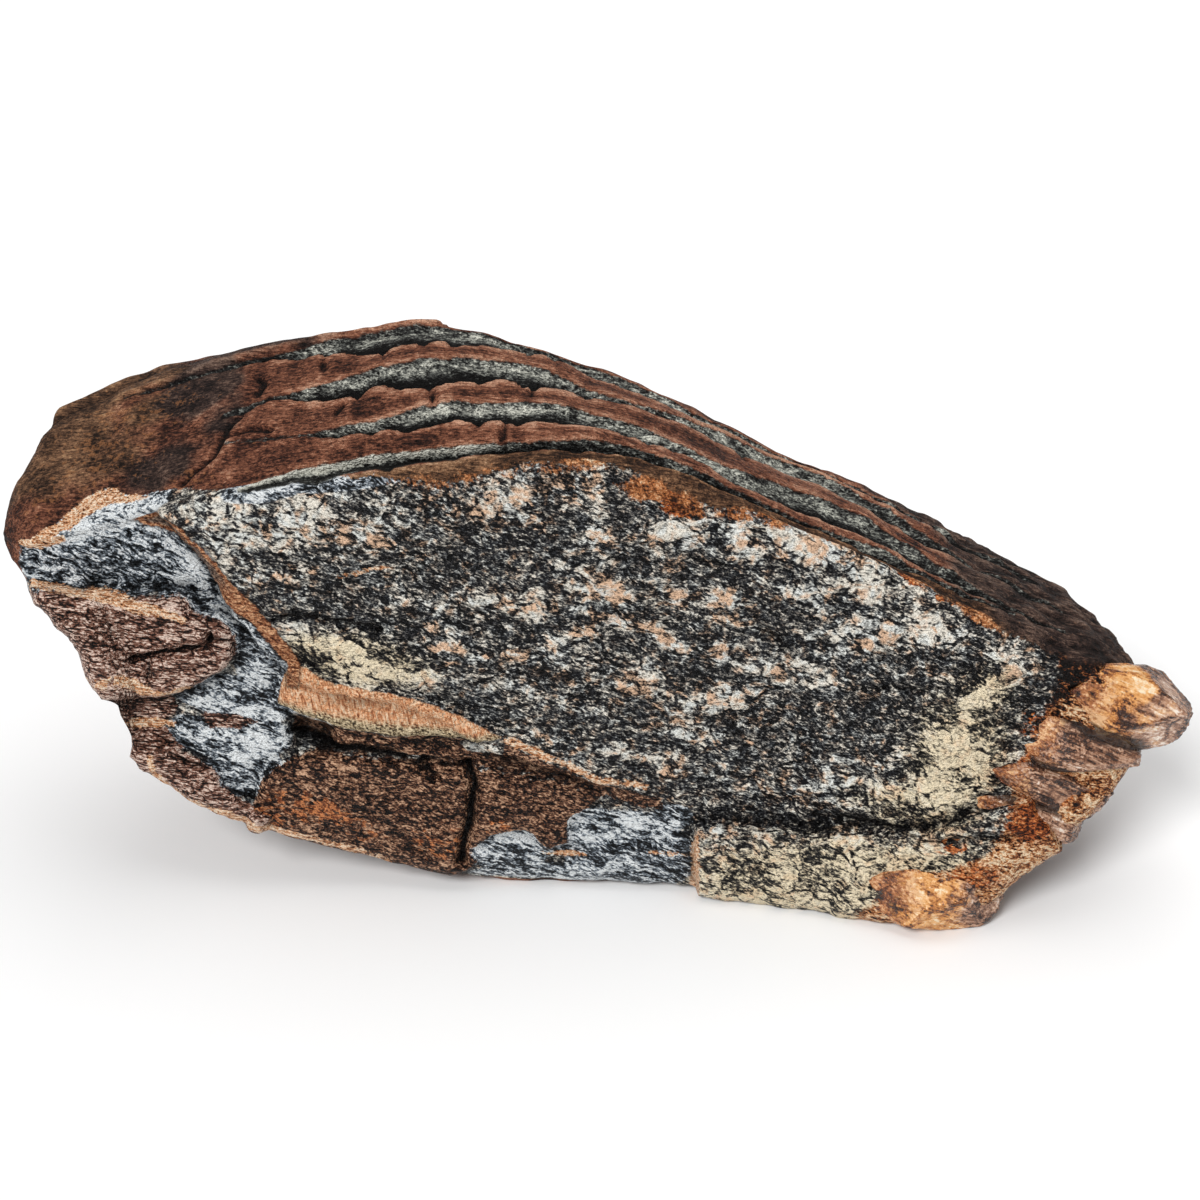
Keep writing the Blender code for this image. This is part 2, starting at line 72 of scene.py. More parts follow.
FOOT = (
    (-113, -6, 62), (-104, -13, 62), (-97.5, -17, 57), (-92.5, -19.5, 49), (-90, -21.5, 38), (-87, -22.5, 27),
    (-81, -23, 20.5), (-68, -24.5, 12.5), (-48, -26, 5), (-27, -27, 0), (-5, -27, -1.5), (18, -28, -2),
    (38, -30.5, -2), (56, -35, -1), (72, -35.5, 4), (85, -31, 15), (95, -29, 23), (104, -27, 31),
)
LEFT_END, RIGHT_END = -110.9, 102.0
LEFT_ROUNDING, RIGHT_ROUNDING = 8.0, 13.0
MIDDLE_X, MIDDLE_Y = -0.52, -0.81
FRONT_BOW = ((0.04, 0), (0.2, 0.5), (0.5, -0.8), (0.8, 0.2), (0.965, 0))
TOP_BOW = ((0.05, 0), (0.3, 1.5), (0.65, 2.2), (0.88, 0.8))
BACK_BOW = ((0.08, 0.8), (0.35, 2), (0.65, 1), (0.9, 0))
UNDER_BOW = ((0.1, 0.8), (0.35, 2), (0.65, 2), (0.9, 0.5))
RINGS = 330
LINES_ON_SIDES = (128, 82, 58, 30)
# Every outline wavers: by how much, and over how long a hump, in the large and in the small.
WAVER, WAVER_LENGTH = 0.6, 7
FINE_WAVER, FINE_WAVER_LENGTH = 0.35, 1.9


def smooth_step(value, width):
    """Rises from 0 to 1 while the value goes from minus half the width to plus half of it."""
    share = np.clip(value / width + 0.5, 0, 1)
    return share * share * (3 - 2 * share)


def ripples(points, size, seed):
    """Smooth noise from -1 to 1 at each point, with humps of the given size."""
    start = Vector((17.3 * seed, 5.1 * seed, 9.7 * seed))
    return np.array([noise.noise(Vector(point) / size + start) for point in points])


def on_smooth_line(knots, x):
    """The values at each x on the smooth line through the knots (x, value, value...)."""
    knots = np.array(knots, float)
    at, values = knots[:, 0], knots[:, 1:]
    slopes = np.gradient(values, at, axis=0)
    i = np.clip(np.searchsorted(at, x, side="right") - 1, 0, len(at) - 2)
    gap = (at[i + 1] - at[i])[:, None]
    t = (x[:, None] - at[i][:, None]) / gap
    rise = values[i + 1] - values[i]
    start, end = slopes[i] * gap, slopes[i + 1] * gap
    return values[i] + t * (start + t * (3 * rise - 2 * start - end + t * (start + end - 2 * rise)))


def section_frame(x):
    """Control points round the section at each x, and how far round each one is: 0 is the foot, 1 the
    crest, 2 the shoulder, 3 the heel and 4 the foot again."""
    edges = [on_smooth_line(line, x) for line in (FOOT, CREST, SHOULDER, HEEL, FOOT)]
    controls, way_round = [], []
    for side, bow in enumerate((FRONT_BOW, TOP_BOW, BACK_BOW, UNDER_BOW)):
        along = edges[side + 1] - edges[side]
        outwards = np.stack([-along[:, 1], along[:, 0]], axis=1)
        outwards /= np.linalg.norm(along, axis=1)[:, None]
        for share, proud in bow:
            controls.append(edges[side] + along * share + outwards * proud)
            way_round.append(side + share)
    return np.array(controls), np.array(way_round)


def skin(x):
    """Points (ring, line, xyz) of the bare form, and how far round each line is. Each section is the
    closed cubic B-spline of its control points, and the two ends are rounded off."""
    controls, way_round = section_frame(x)
    count = len(controls)
    lap = 4
    starts = np.cumsum([0] + [len(bow) for bow in (FRONT_BOW, TOP_BOW, BACK_BOW, UNDER_BOW)])
    spans = [
        np.linspace(start, end, lines, endpoint=False)
        for start, end, lines in zip(starts, starts[1:], LINES_ON_SIDES)
    ]
    t = np.concatenate(spans + [[count]])
    i = np.minimum(t.astype(int), count - 1)
    t = t - i
    weights = (
        (1 - t) ** 3 / 6,
        (3 * t**3 - 6 * t**2 + 4) / 6,
        (-3 * t**3 + 3 * t**2 + 3 * t + 1) / 6,
        t**3 / 6,
    )
    places, rounds = 0, 0
    for offset, weight in zip((-1, 0, 1, 2), weights):
        turn, which = np.divmod(i + offset, count)
        places = places + controls[which] * weight[:, None, None]
        rounds = rounds + (way_round[which] + lap * turn) * weight
    left = np.clip((x - LEFT_END) / LEFT_ROUNDING, 0, 1)
    right = np.clip((RIGHT_END - x) / RIGHT_ROUNDING, 0, 1)
    size = np.sqrt((1 - (1 - left) ** 2) * (1 - (1 - right) ** 2))
    middle = places.mean(axis=0)
    places = middle + (places - middle) * size[None, :, None]
    points = np.empty((len(x), len(t), 3))
    points[..., 0] = x[:, None]
    points[..., 1:] = places.transpose(1, 0, 2)
    return points, rounds


def normals_of(points):
    """Outward normals of a skin that closes on itself."""
    wrapped = np.concatenate([points[:, -2:-1], points, points[:, 1:2]], axis=1)
    along = np.gradient(points, axis=0)
    around = np.gradient(wrapped, axis=1)[:, 1:-1]
    normals = np.cross(along, around)
    return normals / np.maximum(np.linalg.norm(normals, axis=2), 1e-9)[..., None]


spread = np.linspace(-1, 1, RINGS)
spread = 0.7 * spread + 0.3 * np.sin(spread * math.pi / 2)
ring_x = LEFT_END + (RIGHT_END - LEFT_END) * (spread + 1) / 2
block_points, rounds = skin(ring_x)
block_normals = normals_of(block_points)
grid_shape = block_points.shape[:2]
flat = block_points.reshape(-1, 3)
x, y, z = flat.T
way = np.broadcast_to(rounds % 4, grid_shape).reshape(-1)
crest, shoulder = (on_smooth_line(line, x) for line in (CREST, SHOULDER))
heel, foot = (on_smooth_line(line, x) for line in (HEEL, FOOT))
front_width = np.linalg.norm(crest - foot, axis=1)
top_width = np.linalg.norm(shoulder - crest, axis=1)
under_width = np.linalg.norm(foot - heel, axis=1)
along_only = np.stack([x, 0 * x, 0 * x], axis=1)
# A marking has a value at each point. This one is where its mineral can't be.
marks = {}
OUTSIDE = -9


def along_grain(stretch):
    """The block's points squeezed along the tooth, so that ripples over them are drawn out along it."""
    return np.stack([x / stretch, y, z], axis=1)


# The plates' edges: red-brown ribs on top, with grooves between them, darker on their near side and paler on
# their far side, partly in their mineral and partly as painted shade and painted light. Each groove's rows
# are x, its near and far edge as shares of the way across the top, and how pale its far side is. What is over
# 1 lightens the groove all the way across.
GROOVES = (
    (
        (-64, -0.03, -0.01, 1.8), (-60, -0.03, 0.01, 1.8), (-50, -0.035, 0.035, 1.9), (-40, -0.02, 0.05, 1.7),
        (-30, -0.005, 0.05, 1.5), (-20, 0.012, 0.06, 1.3), (-10, 0.02, 0.06, 0), (0, 0.035, 0.1, 0),
        (8, 0.05, 0.105, 0), (15, 0.045, 0.09, 0.5), (22, 0.04, 0.085, 0), (30, 0.035, 0.06, 0),
        (40, 0.04, 0.065, 0.2), (50, 0.03, 0.09, 0.9), (58, 0.05, 0.09, 0.4), (76, 0.1, 0.12, 0),
    ),
    (
        (-70, 0.26, 0.27, 0), (-60, 0.22, 0.235, 0), (-53, 0.2, 0.215, 0.2), (-48, 0.18, 0.225, 1),
        (-40, 0.16, 0.24, 1), (-30, 0.17, 0.285, 1), (-20, 0.165, 0.295, 1), (-10, 0.165, 0.3, 1),
        (0, 0.18, 0.3, 1), (10, 0.19, 0.28, 1), (20, 0.16, 0.235, 1), (30, 0.13, 0.285, 0.9),
        (40, 0.15, 0.32, 1), (50, 0.155, 0.305, 0.9), (60, 0.15, 0.25, 0.5), (72, 0.13, 0.17, 0),
        (86, 0.14, 0.17, 0),
    ),
    (
        (-70, 0.42, 0.44, 0), (-65, 0.42, 0.465, 0.8), (-60, 0.455, 0.48, 0.4), (-55, 0.44, 0.5, 0.9),
        (-50, 0.4, 0.52, 1), (-40, 0.42, 0.54, 1), (-30, 0.39, 0.565, 1), (-20, 0.44, 0.59, 1),
        (-10, 0.43, 0.6, 1), (0, 0.44, 0.5, 0.8), (10, 0.45, 0.5, 0.7), (16, 0.465, 0.55, 1),
        (22, 0.475, 0.61, 1), (30, 0.47, 0.62, 1), (40, 0.49, 0.65, 1), (50, 0.43, 0.6, 0.8),
        (60, 0.4, 0.5, 0.2), (76, 0.38, 0.42, 0), (88, 0.38, 0.41, 0),
    ),
    (
        (-90, 0.775, 0.785, 0), (-78, 0.765, 0.785, 0), (-68, 0.755, 0.785, 0), (-60, 0.745, 0.805, 0.2),
        (-55, 0.73, 0.835, 1), (-50, 0.7, 0.86, 1), (-40, 0.67, 0.88, 1), (-30, 0.67, 0.87, 1),
        (-20, 0.68, 0.86, 1), (-10, 0.72, 0.84, 0.8), (0, 0.66, 0.8, 0.7), (10, 0.62, 0.76, 0.8),
        (20, 0.66, 0.76, 1), (40, 0.7, 0.78, 0.8), (60, 0.62, 0.7, 0.3), (84, 0.6, 0.64, 0),
    ),
)
UNDER_GROOVES = (
    (
        (-84, 0.12, 0.13, 0.1), (-70, 0.09, 0.19, 0.3), (-40, 0.13, 0.25, 0.5), (0, 0.08, 0.2, 0.4),
        (40, 0.13, 0.27, 0.6), (66, 0.08, 0.2, 0.4), (90, 0.12, 0.14, 0.2),
    ),
    (
        (-72, 0.42, 0.43, 0.1), (-56, 0.39, 0.49, 0.4), (-24, 0.44, 0.55, 0.6), (16, 0.39, 0.53, 0.5),
        (54, 0.45, 0.57, 0.6), (88, 0.42, 0.44, 0.3),
    ),
    (
        (-88, 0.73, 0.74, 0.1), (-74, 0.7, 0.77, 0.2), (-34, 0.75, 0.87, 0.4), (6, 0.69, 0.8, 0.5),
        (50, 0.74, 0.85, 0.4), (92, 0.7, 0.72, 0.2),
    ),
)
RIB_DEPTH = 3.2
GROOVE_FLOOR_RISE = 0.62
RIBS_RISE, RIBS_RISE_LENGTH = -64, 40
RIBS_SINK, RIBS_SINK_LENGTH, RIBS_LOST = 70, 50, 0.55
SHEET_EDGE = ((-92, 0.78), (-70, 0.79), (-60, 0.82), (-50, 0.87), (-40, 0.885), (-26, 0.89))
SHEET_FROM, SHEET_TO, SHEET_THICKNESS = -90, -30, 1.3
WORN_X, WORN_RADIUS, WORN_FADE = 10, 42, 30
LOBE_LENGTH, LOBES_UNEVEN = 11, 1.1
LOBES_SINK, LOBES_SINK_LENGTH, LOBES_LOST = 8, 30, 0.7
# Cracks across the ribs, as points (x, share of the way across the top).
RIB_CRACKS = (
    ((-75.5, 0.09), (-73.5, 0.14), (-70.5, 0.2), (-69, 0.3), (-68, 0.38), (-66, 0.42)),
    ((-69, 0.3), (-64, 0.31), (-60, 0.28)),
    ((-64, 0.63), (-62.5, 0.57), (-63.5, 0.52)),
    ((-52, 0.66), (-51.5, 0.6)),
    ((-41, 0.71), (-40.2, 0.63)),
    ((-47, 0.37), (-48, 0.31)),
    ((-31, 0.38), (-30, 0.29)),
    ((-16.6, 0.19), (-17, 0.13), (-17.4, 0.07), (-16.4, 0.03)),
    ((-12, 0.43), (-12.4, 0.36)),
    ((26, 0.47), (27.5, 0.4)),
)


def scallops(seed):
    """Rounded lobes with sharp notches between them, from 0 in a notch to 1 on a lobe."""
    phase = x / LOBE_LENGTH + LOBES_UNEVEN * ripples(along_only, 14, seed) + 0.37 * seed
    return np.abs(np.sin(math.pi * phase)) ** 0.6


def groove_fields(across, width, grooves, ragged):
    """For each point: how many millimetres inside a groove it is, how far across that groove from its
    near edge (0) to its far edge (1), and how pale the groove is there."""
    inside = np.full(across.shape, -20.0)
    over, pale = np.zeros(across.shape), np.zeros(across.shape)
    for number, rows in enumerate(grooves):
        near, far, paleness = on_smooth_line(rows, np.clip(x, rows[0][0], rows[-1][0])).T
        lobes = scallops(20 + number)
        room = smooth_step((far - near) * width - 3, 4)
        lobes *= 1 - LOBES_LOST * smooth_step(x - LOBES_SINK, LOBES_SINK_LENGTH)
        near = near * width + ragged * room * (2.1 * lobes - 1.5)
        far = far * width + 0.5 * ragged * room * ripples(along_only, 5, 30 + number)
        within = np.minimum(across - near, far - across)
        beyond = np.maximum(rows[0][0] - x, x - rows[-1][0])
        within = np.minimum(within, -beyond)
        deeper = within > inside
        inside = np.where(deeper, within, inside)
        over = np.where(deeper, (across - near) / np.maximum(far - near, 0.3), over)
        pale = np.where(deeper, paleness, pale)
    return inside, np.clip(over, 0, 1), np.clip(pale, 0, 2)


def from_run(across, up, ax, az, bx, bz):
    """How far each point lies from the straight run from A to B, and beside what share of the run."""
    run, rise = bx - ax, bz - az
    share = np.clip(((across - ax) * run + (up - az) * rise) / (run * run + rise * rise), 0, 1)
    return np.hypot(across - ax - share * run, up - az - share * rise), share


def distance_to_line(across, up, line):
    """How far each point lies from an open line."""
    nearest = np.full(across.shape, np.inf)
    for start, end in zip(line, line[1:]):
        nearest = np.minimum(nearest, from_run(across, up, *start, *end)[0])
    return nearest


across_top = np.where(way > 1, (way - 1) * top_width, (way - 1) * front_width)
share_top = across_top / top_width
fine_wobble = FINE_WAVER * ripples(flat, FINE_WAVER_LENGTH, 40)
rib_wander = across_top + fine_wobble
inside, over, pale_groove = groove_fields(rib_wander, top_width, GROOVES, 1)
on_top = (way > 0.9) & (way < 2.2)
inside = np.where(on_top, inside, -20)
worn = smooth_step(WORN_RADIUS - np.hypot(x - WORN_X, y), WORN_FADE)
below = groove_fields((way - 3) * under_width + fine_wobble, under_width, UNDER_GROOVES, 0.6)
under = way > 3
inside, over, pale_groove = (
    np.where(under, lower, upper) for lower, upper in zip(below, (inside, over, pale_groove))
)
marks["groove"] = inside
# Across each groove: darkened near the rib in front as painted shade, lightened on the far side as painted
# light.
lit_across = np.interp(over, (0, 0.35, 0.55, 0.75, 0.92, 0.99), (-1, -0.85, -0.2, 0.85, 1, 0))
patchy = 0.75 + 0.6 * ripples(along_grain(3), 2.5, 43)
marks["groove_light"] = lit_across * np.minimum(pale_groove, 1) * np.where(lit_across > 0, patchy, 1)
marks["groove_light"] += np.maximum(pale_groove - 1, 0)
rise = smooth_step(x - RIBS_RISE, RIBS_RISE_LENGTH) * 0.8 + 0.2
lost = 1 - RIBS_LOST * smooth_step(x - RIBS_SINK, RIBS_SINK_LENGTH)
groove_depth = RIB_DEPTH * smooth_step(inside - 0.4, 1.4) * (1 - GROOVE_FLOOR_RISE * over)
ribs_relief = -groove_depth * rise * lost * np.where(under, 1 - worn, 1)
sheet_edge = np.interp(x, *np.array(SHEET_EDGE).T)
on_sheet = smooth_step((share_top - sheet_edge) * top_width + 0.7 * ripples(along_only, 6, 41), 0.9)
broken_end = SHEET_TO - x + 3 * ripples(flat, 9, 44) + fine_wobble
on_sheet *= smooth_step(broken_end, 1.2) * smooth_step(x - SHEET_FROM, 12) * smooth_step(2.25 - way, 0.2)
on_sheet *= way > 1.5
ribs_relief += SHEET_THICKNESS * on_sheet
crack_gap = np.full(x.shape, 20.0)
for line in RIB_CRACKS:
    middle_x = line[0][0]
    width_here = float(np.interp(middle_x, ring_x, top_width.reshape(grid_shape)[:, 0]))
    on_the_top = [(at, share * width_here) for at, share in line]
    gap = distance_to_line(x + fine_wobble, across_top, on_the_top)
    crack_gap = np.where(on_top, np.minimum(crack_gap, gap), crack_gap)

# The broken face: steps, hollows and cracks where the stone split, as outlines of points (x, z). Each
# ledge has its outline, how proud it stands or how deep it lies, and the width of its slope.
MAIN_PLATE = (
    (-85, 80), (-77, 75), (-73, 71), (-70, 64), (-66, 57), (-62, 52), (-56, 46), (-49, 44), (-36, 42),
    (-28, 38), (-22, 32), (-10, 28), (10, 22), (40, 16), (115, 10), (115, 100), (-85, 105),
)
MAIN_PLATE_HEIGHT, MAIN_PLATE_FADE, MAIN_PLATE_FADE_LENGTH = 2.6, 5, 30
LENS = (
    (-106, 68), (-100, 70.5), (-93, 72.5), (-87, 75.5), (-80, 78), (-77, 74), (-72, 69), (-68, 63),
    (-70, 60.5), (-78, 61.5), (-88, 62.5), (-100, 62.4), (-105, 65),
)
BARK_BLOCK = (
    (-112, 62.5), (-98, 62.2), (-90, 61.8), (-83, 61.5), (-76, 61), (-73, 58.5), (-68.5, 56.5), (-66.5, 54),
    (-66.5, 51), (-69, 47.5), (-74, 44.5), (-78, 42), (-85, 41.5), (-92, 43), (-112, 42),
)
FLAKE = (
    (-93, 31), (-80, 31), (-76, 29.5), (-72.5, 27), (-71.5, 24), (-68, 20.5), (-62, 17.5), (-66, 8), (-93, 8),
)
WEDGE = (
    (-57.5, 48), (-55.5, 49.5), (-49, 46.5), (-41.5, 45), (-37, 44), (-30, 42), (-24.5, 39.5), (-20, 36.5),
    (-17.5, 35.2), (-24, 34.2), (-36, 34.4), (-49, 36), (-55, 38.5), (-60, 40.8),
)
HOLLOW = ((-58, 37), (-50, 35), (-50, 31), (-57, 31))
BROWN_PLATE = (
    (-64, 24), (-61, 28), (-54, 30.5), (-38, 29), (-25, 27.5), (-12, 25.5), (0, 22.5), (-2, 19.5), (-6, 17),
    (-6, 12), (-10, 10.5), (-14, 14), (-20, 13.5), (-25, 10), (-24, 7), (-28, 3), (-40, -4), (-70, 8),
)
RIGHT_BLOCK = ((18.5, 17), (40, 17), (62, 20), (80, 26), (90, 10), (80, -10), (18.5, -10))
FRONT_LEDGES = (
    (LENS, -1.8, 3),
    (BARK_BLOCK, 3.4, 2.6),
    (FLAKE, 1.8, 2.0),
    (WEDGE, 1.6, 3),
    (HOLLOW, -3.5, 3.5),
    (BROWN_PLATE, 1.3, 2.0),
    (RIGHT_BLOCK, 2.6, 1.2),
)
# Each crack: its points (x, z), its width and its depth.
FRONT_CRACKS = (
    (((-53, 30.3), (-46, 31), (-40, 30), (-34, 28), (-31, 26)), 1.6, 1.8),
    (((-33, 28.8), (-29, 28), (-24.5, 27.5)), 1.4, 1.5),
    (((-24.7, 27.5), (-23.6, 24), (-24.4, 20), (-25, 16), (-26.5, 10), (-27, 7)), 1.7, 2.2),
    (((-59, 58.5), (-55, 59.5), (-49, 59), (-40, 57)), 1.2, 1.2),
    (((-71, 55), (-71.5, 52.6), (-76, 51.5), (-80, 50.8), (-87, 49)), 1.1, 1.5),
    (((-71, 54), (-67.5, 53.5), (-66.5, 51)), 1.0, 1.2),
    (((-83, 49), (-83.6, 45.5)), 0.9, 1.0),
    (((-81, 30), (-77, 28.5), (-73.5, 27)), 0.9, 1.0),
    (((14, 73), (18, 71), (22, 70.5)), 0.8, 0.7),
    (((30, 57), (32.5, 56), (33.5, 54.5)), 1.2, 1.0),
    (((-58, 33.5), (-52, 31.5), (-50, 31)), 1.6, 1.6),
    (((48, 46.5), (56, 47), (62, 47.3)), 0.7, 0.6),
    (((40, 20.4), (52, 20), (62, 18.5), (76, 19)), 1.0, 0.8),
    (((86, 46.5), (88, 47.3), (91.5, 46), (94, 45.5)), 1.0, 1.0),
)


def depth_inside(across, up, outline):
    """How far each point lies inside a closed outline, negative where it is outside."""
    nearest = np.full(across.shape, np.inf)
    inside = np.zeros(across.shape, bool)
    for (ax, az), (bx, bz) in zip(outline, outline[1:] + outline[:1]):
        nearest = np.minimum(nearest, distance_to_line(across, up, ((ax, az), (bx, bz))))
        crosses = (az > up) != (bz > up)
        level = bz - az if bz != az else 1
        inside ^= crosses & (across < (bx - ax) * (up - az) / level + ax)
    return np.where(inside, nearest, -nearest)


def broken_relief(x, z, ledges, cracks):
    """Ledges, hollows and cracks of a broken face, and how far each point is from a crack's edge."""
    height, gap = np.zeros(x.shape), np.full(x.shape, 20.0)
    for outline, proud, slope in ledges:
        height += proud * smooth_step(depth_inside(x, z, outline), slope)
    for line, width, depth in cracks:
        from_crack = distance_to_line(x, z, line)
        height -= depth * smooth_step(width / 2 - from_crack, width)
        gap = np.minimum(gap, from_crack - width / 2 + 0.5)
    return height, gap


on_front = way <= 1
wobble_x = x + WAVER * ripples(flat, WAVER_LENGTH, 1) + fine_wobble
wobble_z = z + WAVER * ripples(flat, WAVER_LENGTH, 2) + FINE_WAVER * ripples(flat, FINE_WAVER_LENGTH, 42)
front_relief, front_gap = broken_relief(wobble_x, wobble_z, FRONT_LEDGES, FRONT_CRACKS)
faded = smooth_step(x - MAIN_PLATE_FADE, MAIN_PLATE_FADE_LENGTH)
step = smooth_step(depth_inside(wobble_x, wobble_z, MAIN_PLATE), 2.0)
front_relief += MAIN_PLATE_HEIGHT * (step * (1 - faded) + 0.5 * faded)
crack_gap = np.where(on_front, np.minimum(crack_gap, front_gap), crack_gap)

# The back is a second broken face, which the far side of the last plate partly covers. It is described
# in the same way as the front.
BACK_PLATE = (
    (-103, 65), (-60, 62), (-20, 60), (20, 48), (60, 40), (90, 40), (60, 75), (-20, 110), (-103, 95),
)
BACK_SCAR = ((-50, 50), (-22, 54), (2, 44), (8, 28), (-8, 16), (-34, 20), (-52, 32))
BACK_FLAKE = ((24, 34), (44, 36), (66, 28), (70, 14), (48, 8), (28, 14))
BACK_LOWER_PLATE = ((-90, 34), (-62, 30), (-30, 14), (-10, 8), (-10, -10), (-90, -10))
BACK_LEDGES = (
    (BACK_PLATE, 2.4, 3),
    (BACK_SCAR, -3.2, 4),
    (BACK_FLAKE, -1.8, 3),
    (BACK_LOWER_PLATE, 1.6, 2.5),
)
BACK_CRACKS = (
    (
        ((-70, 44), (-62, 40), (-52, 41), (-44, 37), (-30, 36), (-22, 39), (-5, 37), (2, 33), (20, 31)),
        1.0, 1.2,
    ),
    (((14, 72), (17, 66), (15, 61), (20, 55), (18, 50)), 0.7, 1.0),
    (((-60, 88), (-57, 80), (-59, 75), (-54, 68)), 0.7, 0.9),
    (((-36, 90), (-20, 86), (-6, 84), (6, 78)), 0.8, 0.9),
    (((40, 62), (52, 56), (60, 48)), 0.8, 0.9),
)
on_back = (way > 2) & (way < 3)
back_relief, back_gap = broken_relief(wobble_x, wobble_z, BACK_LEDGES, BACK_CRACKS)
crack_gap = np.where(on_back, np.minimum(crack_gap, back_gap), crack_gap)
marks["crack"] = crack_gap

# Where each mineral lies. The rind comes down over the crest to this line (x, z) on the broken face. At
# the left the stone of the face lies over the crest instead, up to this line (x, millimetres across).
RIND_EDGE = (
    (-112, 62), (-108, 66.5), (-106, 68.5), (-103, 70.2), (-100, 71.3), (-95, 73), (-90, 75.3), (-85, 78.3),
    (-80, 80.3), (-72, 82.2), (-64, 83.6), (-58, 85.3), (-52, 86), (-45, 85.4), (-38, 86), (-30, 85.6),
    (-25, 85.6), (-20, 87), (-12, 88.8), (0, 88.4), (5, 87.6), (10, 85), (15, 82.8), (20, 81), (25, 79.8),
    (30, 78), (35, 76.6), (40, 74), (45, 72.2), (50, 70.2), (55, 67.6), (60, 64.6), (65, 61.4), (70, 58.4),
    (75, 56), (80, 53.6), (85, 51), (92, 49), (104, 46),
)
STONE_OVER_CREST = (
    (-104, -1), (-102, 1), (-96.4, 4.7), (-93, 7), (-89, 7.3), (-85, 4.2), (-80, 4), (-74, 2.3), (-68, 0),
    (-60, -5),
)
BACK_RIND_TO = -88
LEFT_RIM = ((-112, 75), (-107.5, 72), (-106.5, 68), (-106.8, 65), (-104, 62), (-112, 55))
rind = np.interp(x, *np.array(RIND_EDGE).T)
rind = (z - rind) * 0.9
rind = np.maximum(rind, depth_inside(wobble_x, wobble_z, LEFT_RIM))
back_rind = depth_inside(wobble_x, wobble_z, BACK_PLATE) + 2.5 * ripples(flat, 12, 45)
back_rind = np.maximum(back_rind, BACK_RIND_TO - x + 5 * ripples(flat, 11, 46))
over_crest = np.clip(across_top - np.interp(x, *np.array(STONE_OVER_CREST).T), -6, 6)
rind = np.select([on_front, way < 2.04, on_back], [rind, over_crest, back_rind], default=3.0)
marks["rind"] = fine_wobble + rind
lower_back = depth_inside(wobble_x, wobble_z, BACK_LOWER_PLATE)
# Brown layers under the bark-like block, and the dark rows of grains between the wedge and the brown plate.
BROWN_LAYERS = (
    ((-93, 44), (-80, 42.5), (-79, 38), (-81.5, 35.5), (-80, 32), (-78, 31), (-90, 30)),
    ((-74.5, 38), (-68, 37.5), (-64, 36), (-68, 34.3), (-73.5, 35)),
)
DARK_ROWS = (
    (-57, 37.5), (-49, 35.6), (-36, 34.2), (-24, 34), (-17, 33.4), (-8, 29), (2, 24.5), (12, 22), (12, 19.5),
    (2, 21.5), (-12, 26), (-25, 28), (-38, 29.8), (-52, 31.4), (-58, 33),
)
bark = depth_inside(wobble_x, wobble_z, BARK_BLOCK)
bark = np.maximum(bark, depth_inside(wobble_x, wobble_z, FLAKE))
for layer in BROWN_LAYERS:
    bark = np.maximum(bark, depth_inside(wobble_x, wobble_z, layer))
marks["bark"] = np.select([on_front, on_back], [bark, lower_back], default=OUTSIDE)
granular = np.maximum(*(depth_inside(wobble_x, wobble_z, shape) for shape in (BROWN_PLATE, DARK_ROWS)))
marks["wedge"] = np.where(on_front, depth_inside(wobble_x, wobble_z, WEDGE), OUTSIDE)
wedge_foot = np.interp(x, (-60, -49, -30, -20), (41, 38.5, 36.5, 36))
marks["wedge_foot"] = wedge_foot - z

# Veins of orange-tan stone, and orange-tan bands along the edges of steps, partly the stone's colour and
# partly painted highlight where an edge catches the light, as rows (x, z, half width).
VEIN = (
    (-86, 75.6, 0.4), (-81, 75.2, 1.4), (-76, 74.0, 1.6), (-73, 71.4, 1.5), (-70.6, 68, 1.9),
    (-68.6, 65, 2.0), (-65.6, 62, 1.8), (-62, 58, 1.5), (-58.5, 53.5, 1.2), (-56, 49.5, 0.9),
    (-56.8, 45, 0.8),
)
TAN_BANDS = (
    (
        (-104, 63.2, 0.5), (-99, 62.6, 0.6), (-93, 61.6, 0.9), (-87, 60.8, 1.1), (-81, 59.4, 1.0),
        (-75.5, 58, 0.5),
    ),
    ((-106, 68.6, 0.8), (-103, 69.8, 1.1), (-99, 71, 0.8)),
    ((-92, 47, 0.6), (-88, 45, 1.1), (-84, 43.4, 1.0), (-80, 42.6, 0.7), (-76, 43.6, 0.6)),
    ((-90, 36.3, 0.6), (-84, 35.6, 0.9), (-80, 35, 0.5)),
    (
        (-84.5, 29.5, 0.8), (-84, 26, 0.8), (-80, 21.5, 0.9), (-74, 19, 0.7), (-66, 16.5, 0.8),
        (-60, 13.5, 0.8), (-50, 10.5, 0.6), (-40, 7.5, 0.5),
    ),
    ((-18, 35, 0.7), (-12, 32, 0.9), (-6, 29.5, 0.6), (0, 26.5, 0.8), (6, 25.3, 0.6), (9, 24.6, 0.3)),
    ((19, 15.5, 0.5), (18.6, 10, 0.7), (18, 3, 1.0), (18.4, -1, 1.2)),
    ((-47, 67.4, 0.2), (-38, 69.3, 0.3), (-36, 69, 0.1)),
    ((-11, 9.2, 0.3), (-6, 9, 0.6), (-2, 8.6, 0.3)),
    ((9, 9.3, 0.2), (15, 9.8, 0.3), (17, 9.6, 0.2)),
)
# The strip of it on top at the left, in rows of x, millimetres past the crest, and half width.
TAN_STRIP = (
    (-104, -0.4, 0.8), (-99.5, 1.6, 1.3), (-96, 3.2, 1.8), (-92.5, 5.4, 2.1), (-89.5, 5.8, 1.9),
    (-86.5, 4.2, 0.8), (-82, 3.4, 0.4),
)


def inside_bands(across, up, bands):
    """How far each point lies inside bands of changing width."""
    inside = np.full(across.shape, float(OUTSIDE))
    for rows in bands:
        for (ax, az, a_half), (bx, bz, b_half) in zip(rows, rows[1:]):
            gap, share = from_run(across, up, ax, az, bx, bz)
            inside = np.maximum(inside, a_half + (b_half - a_half) * share - gap)
    return inside


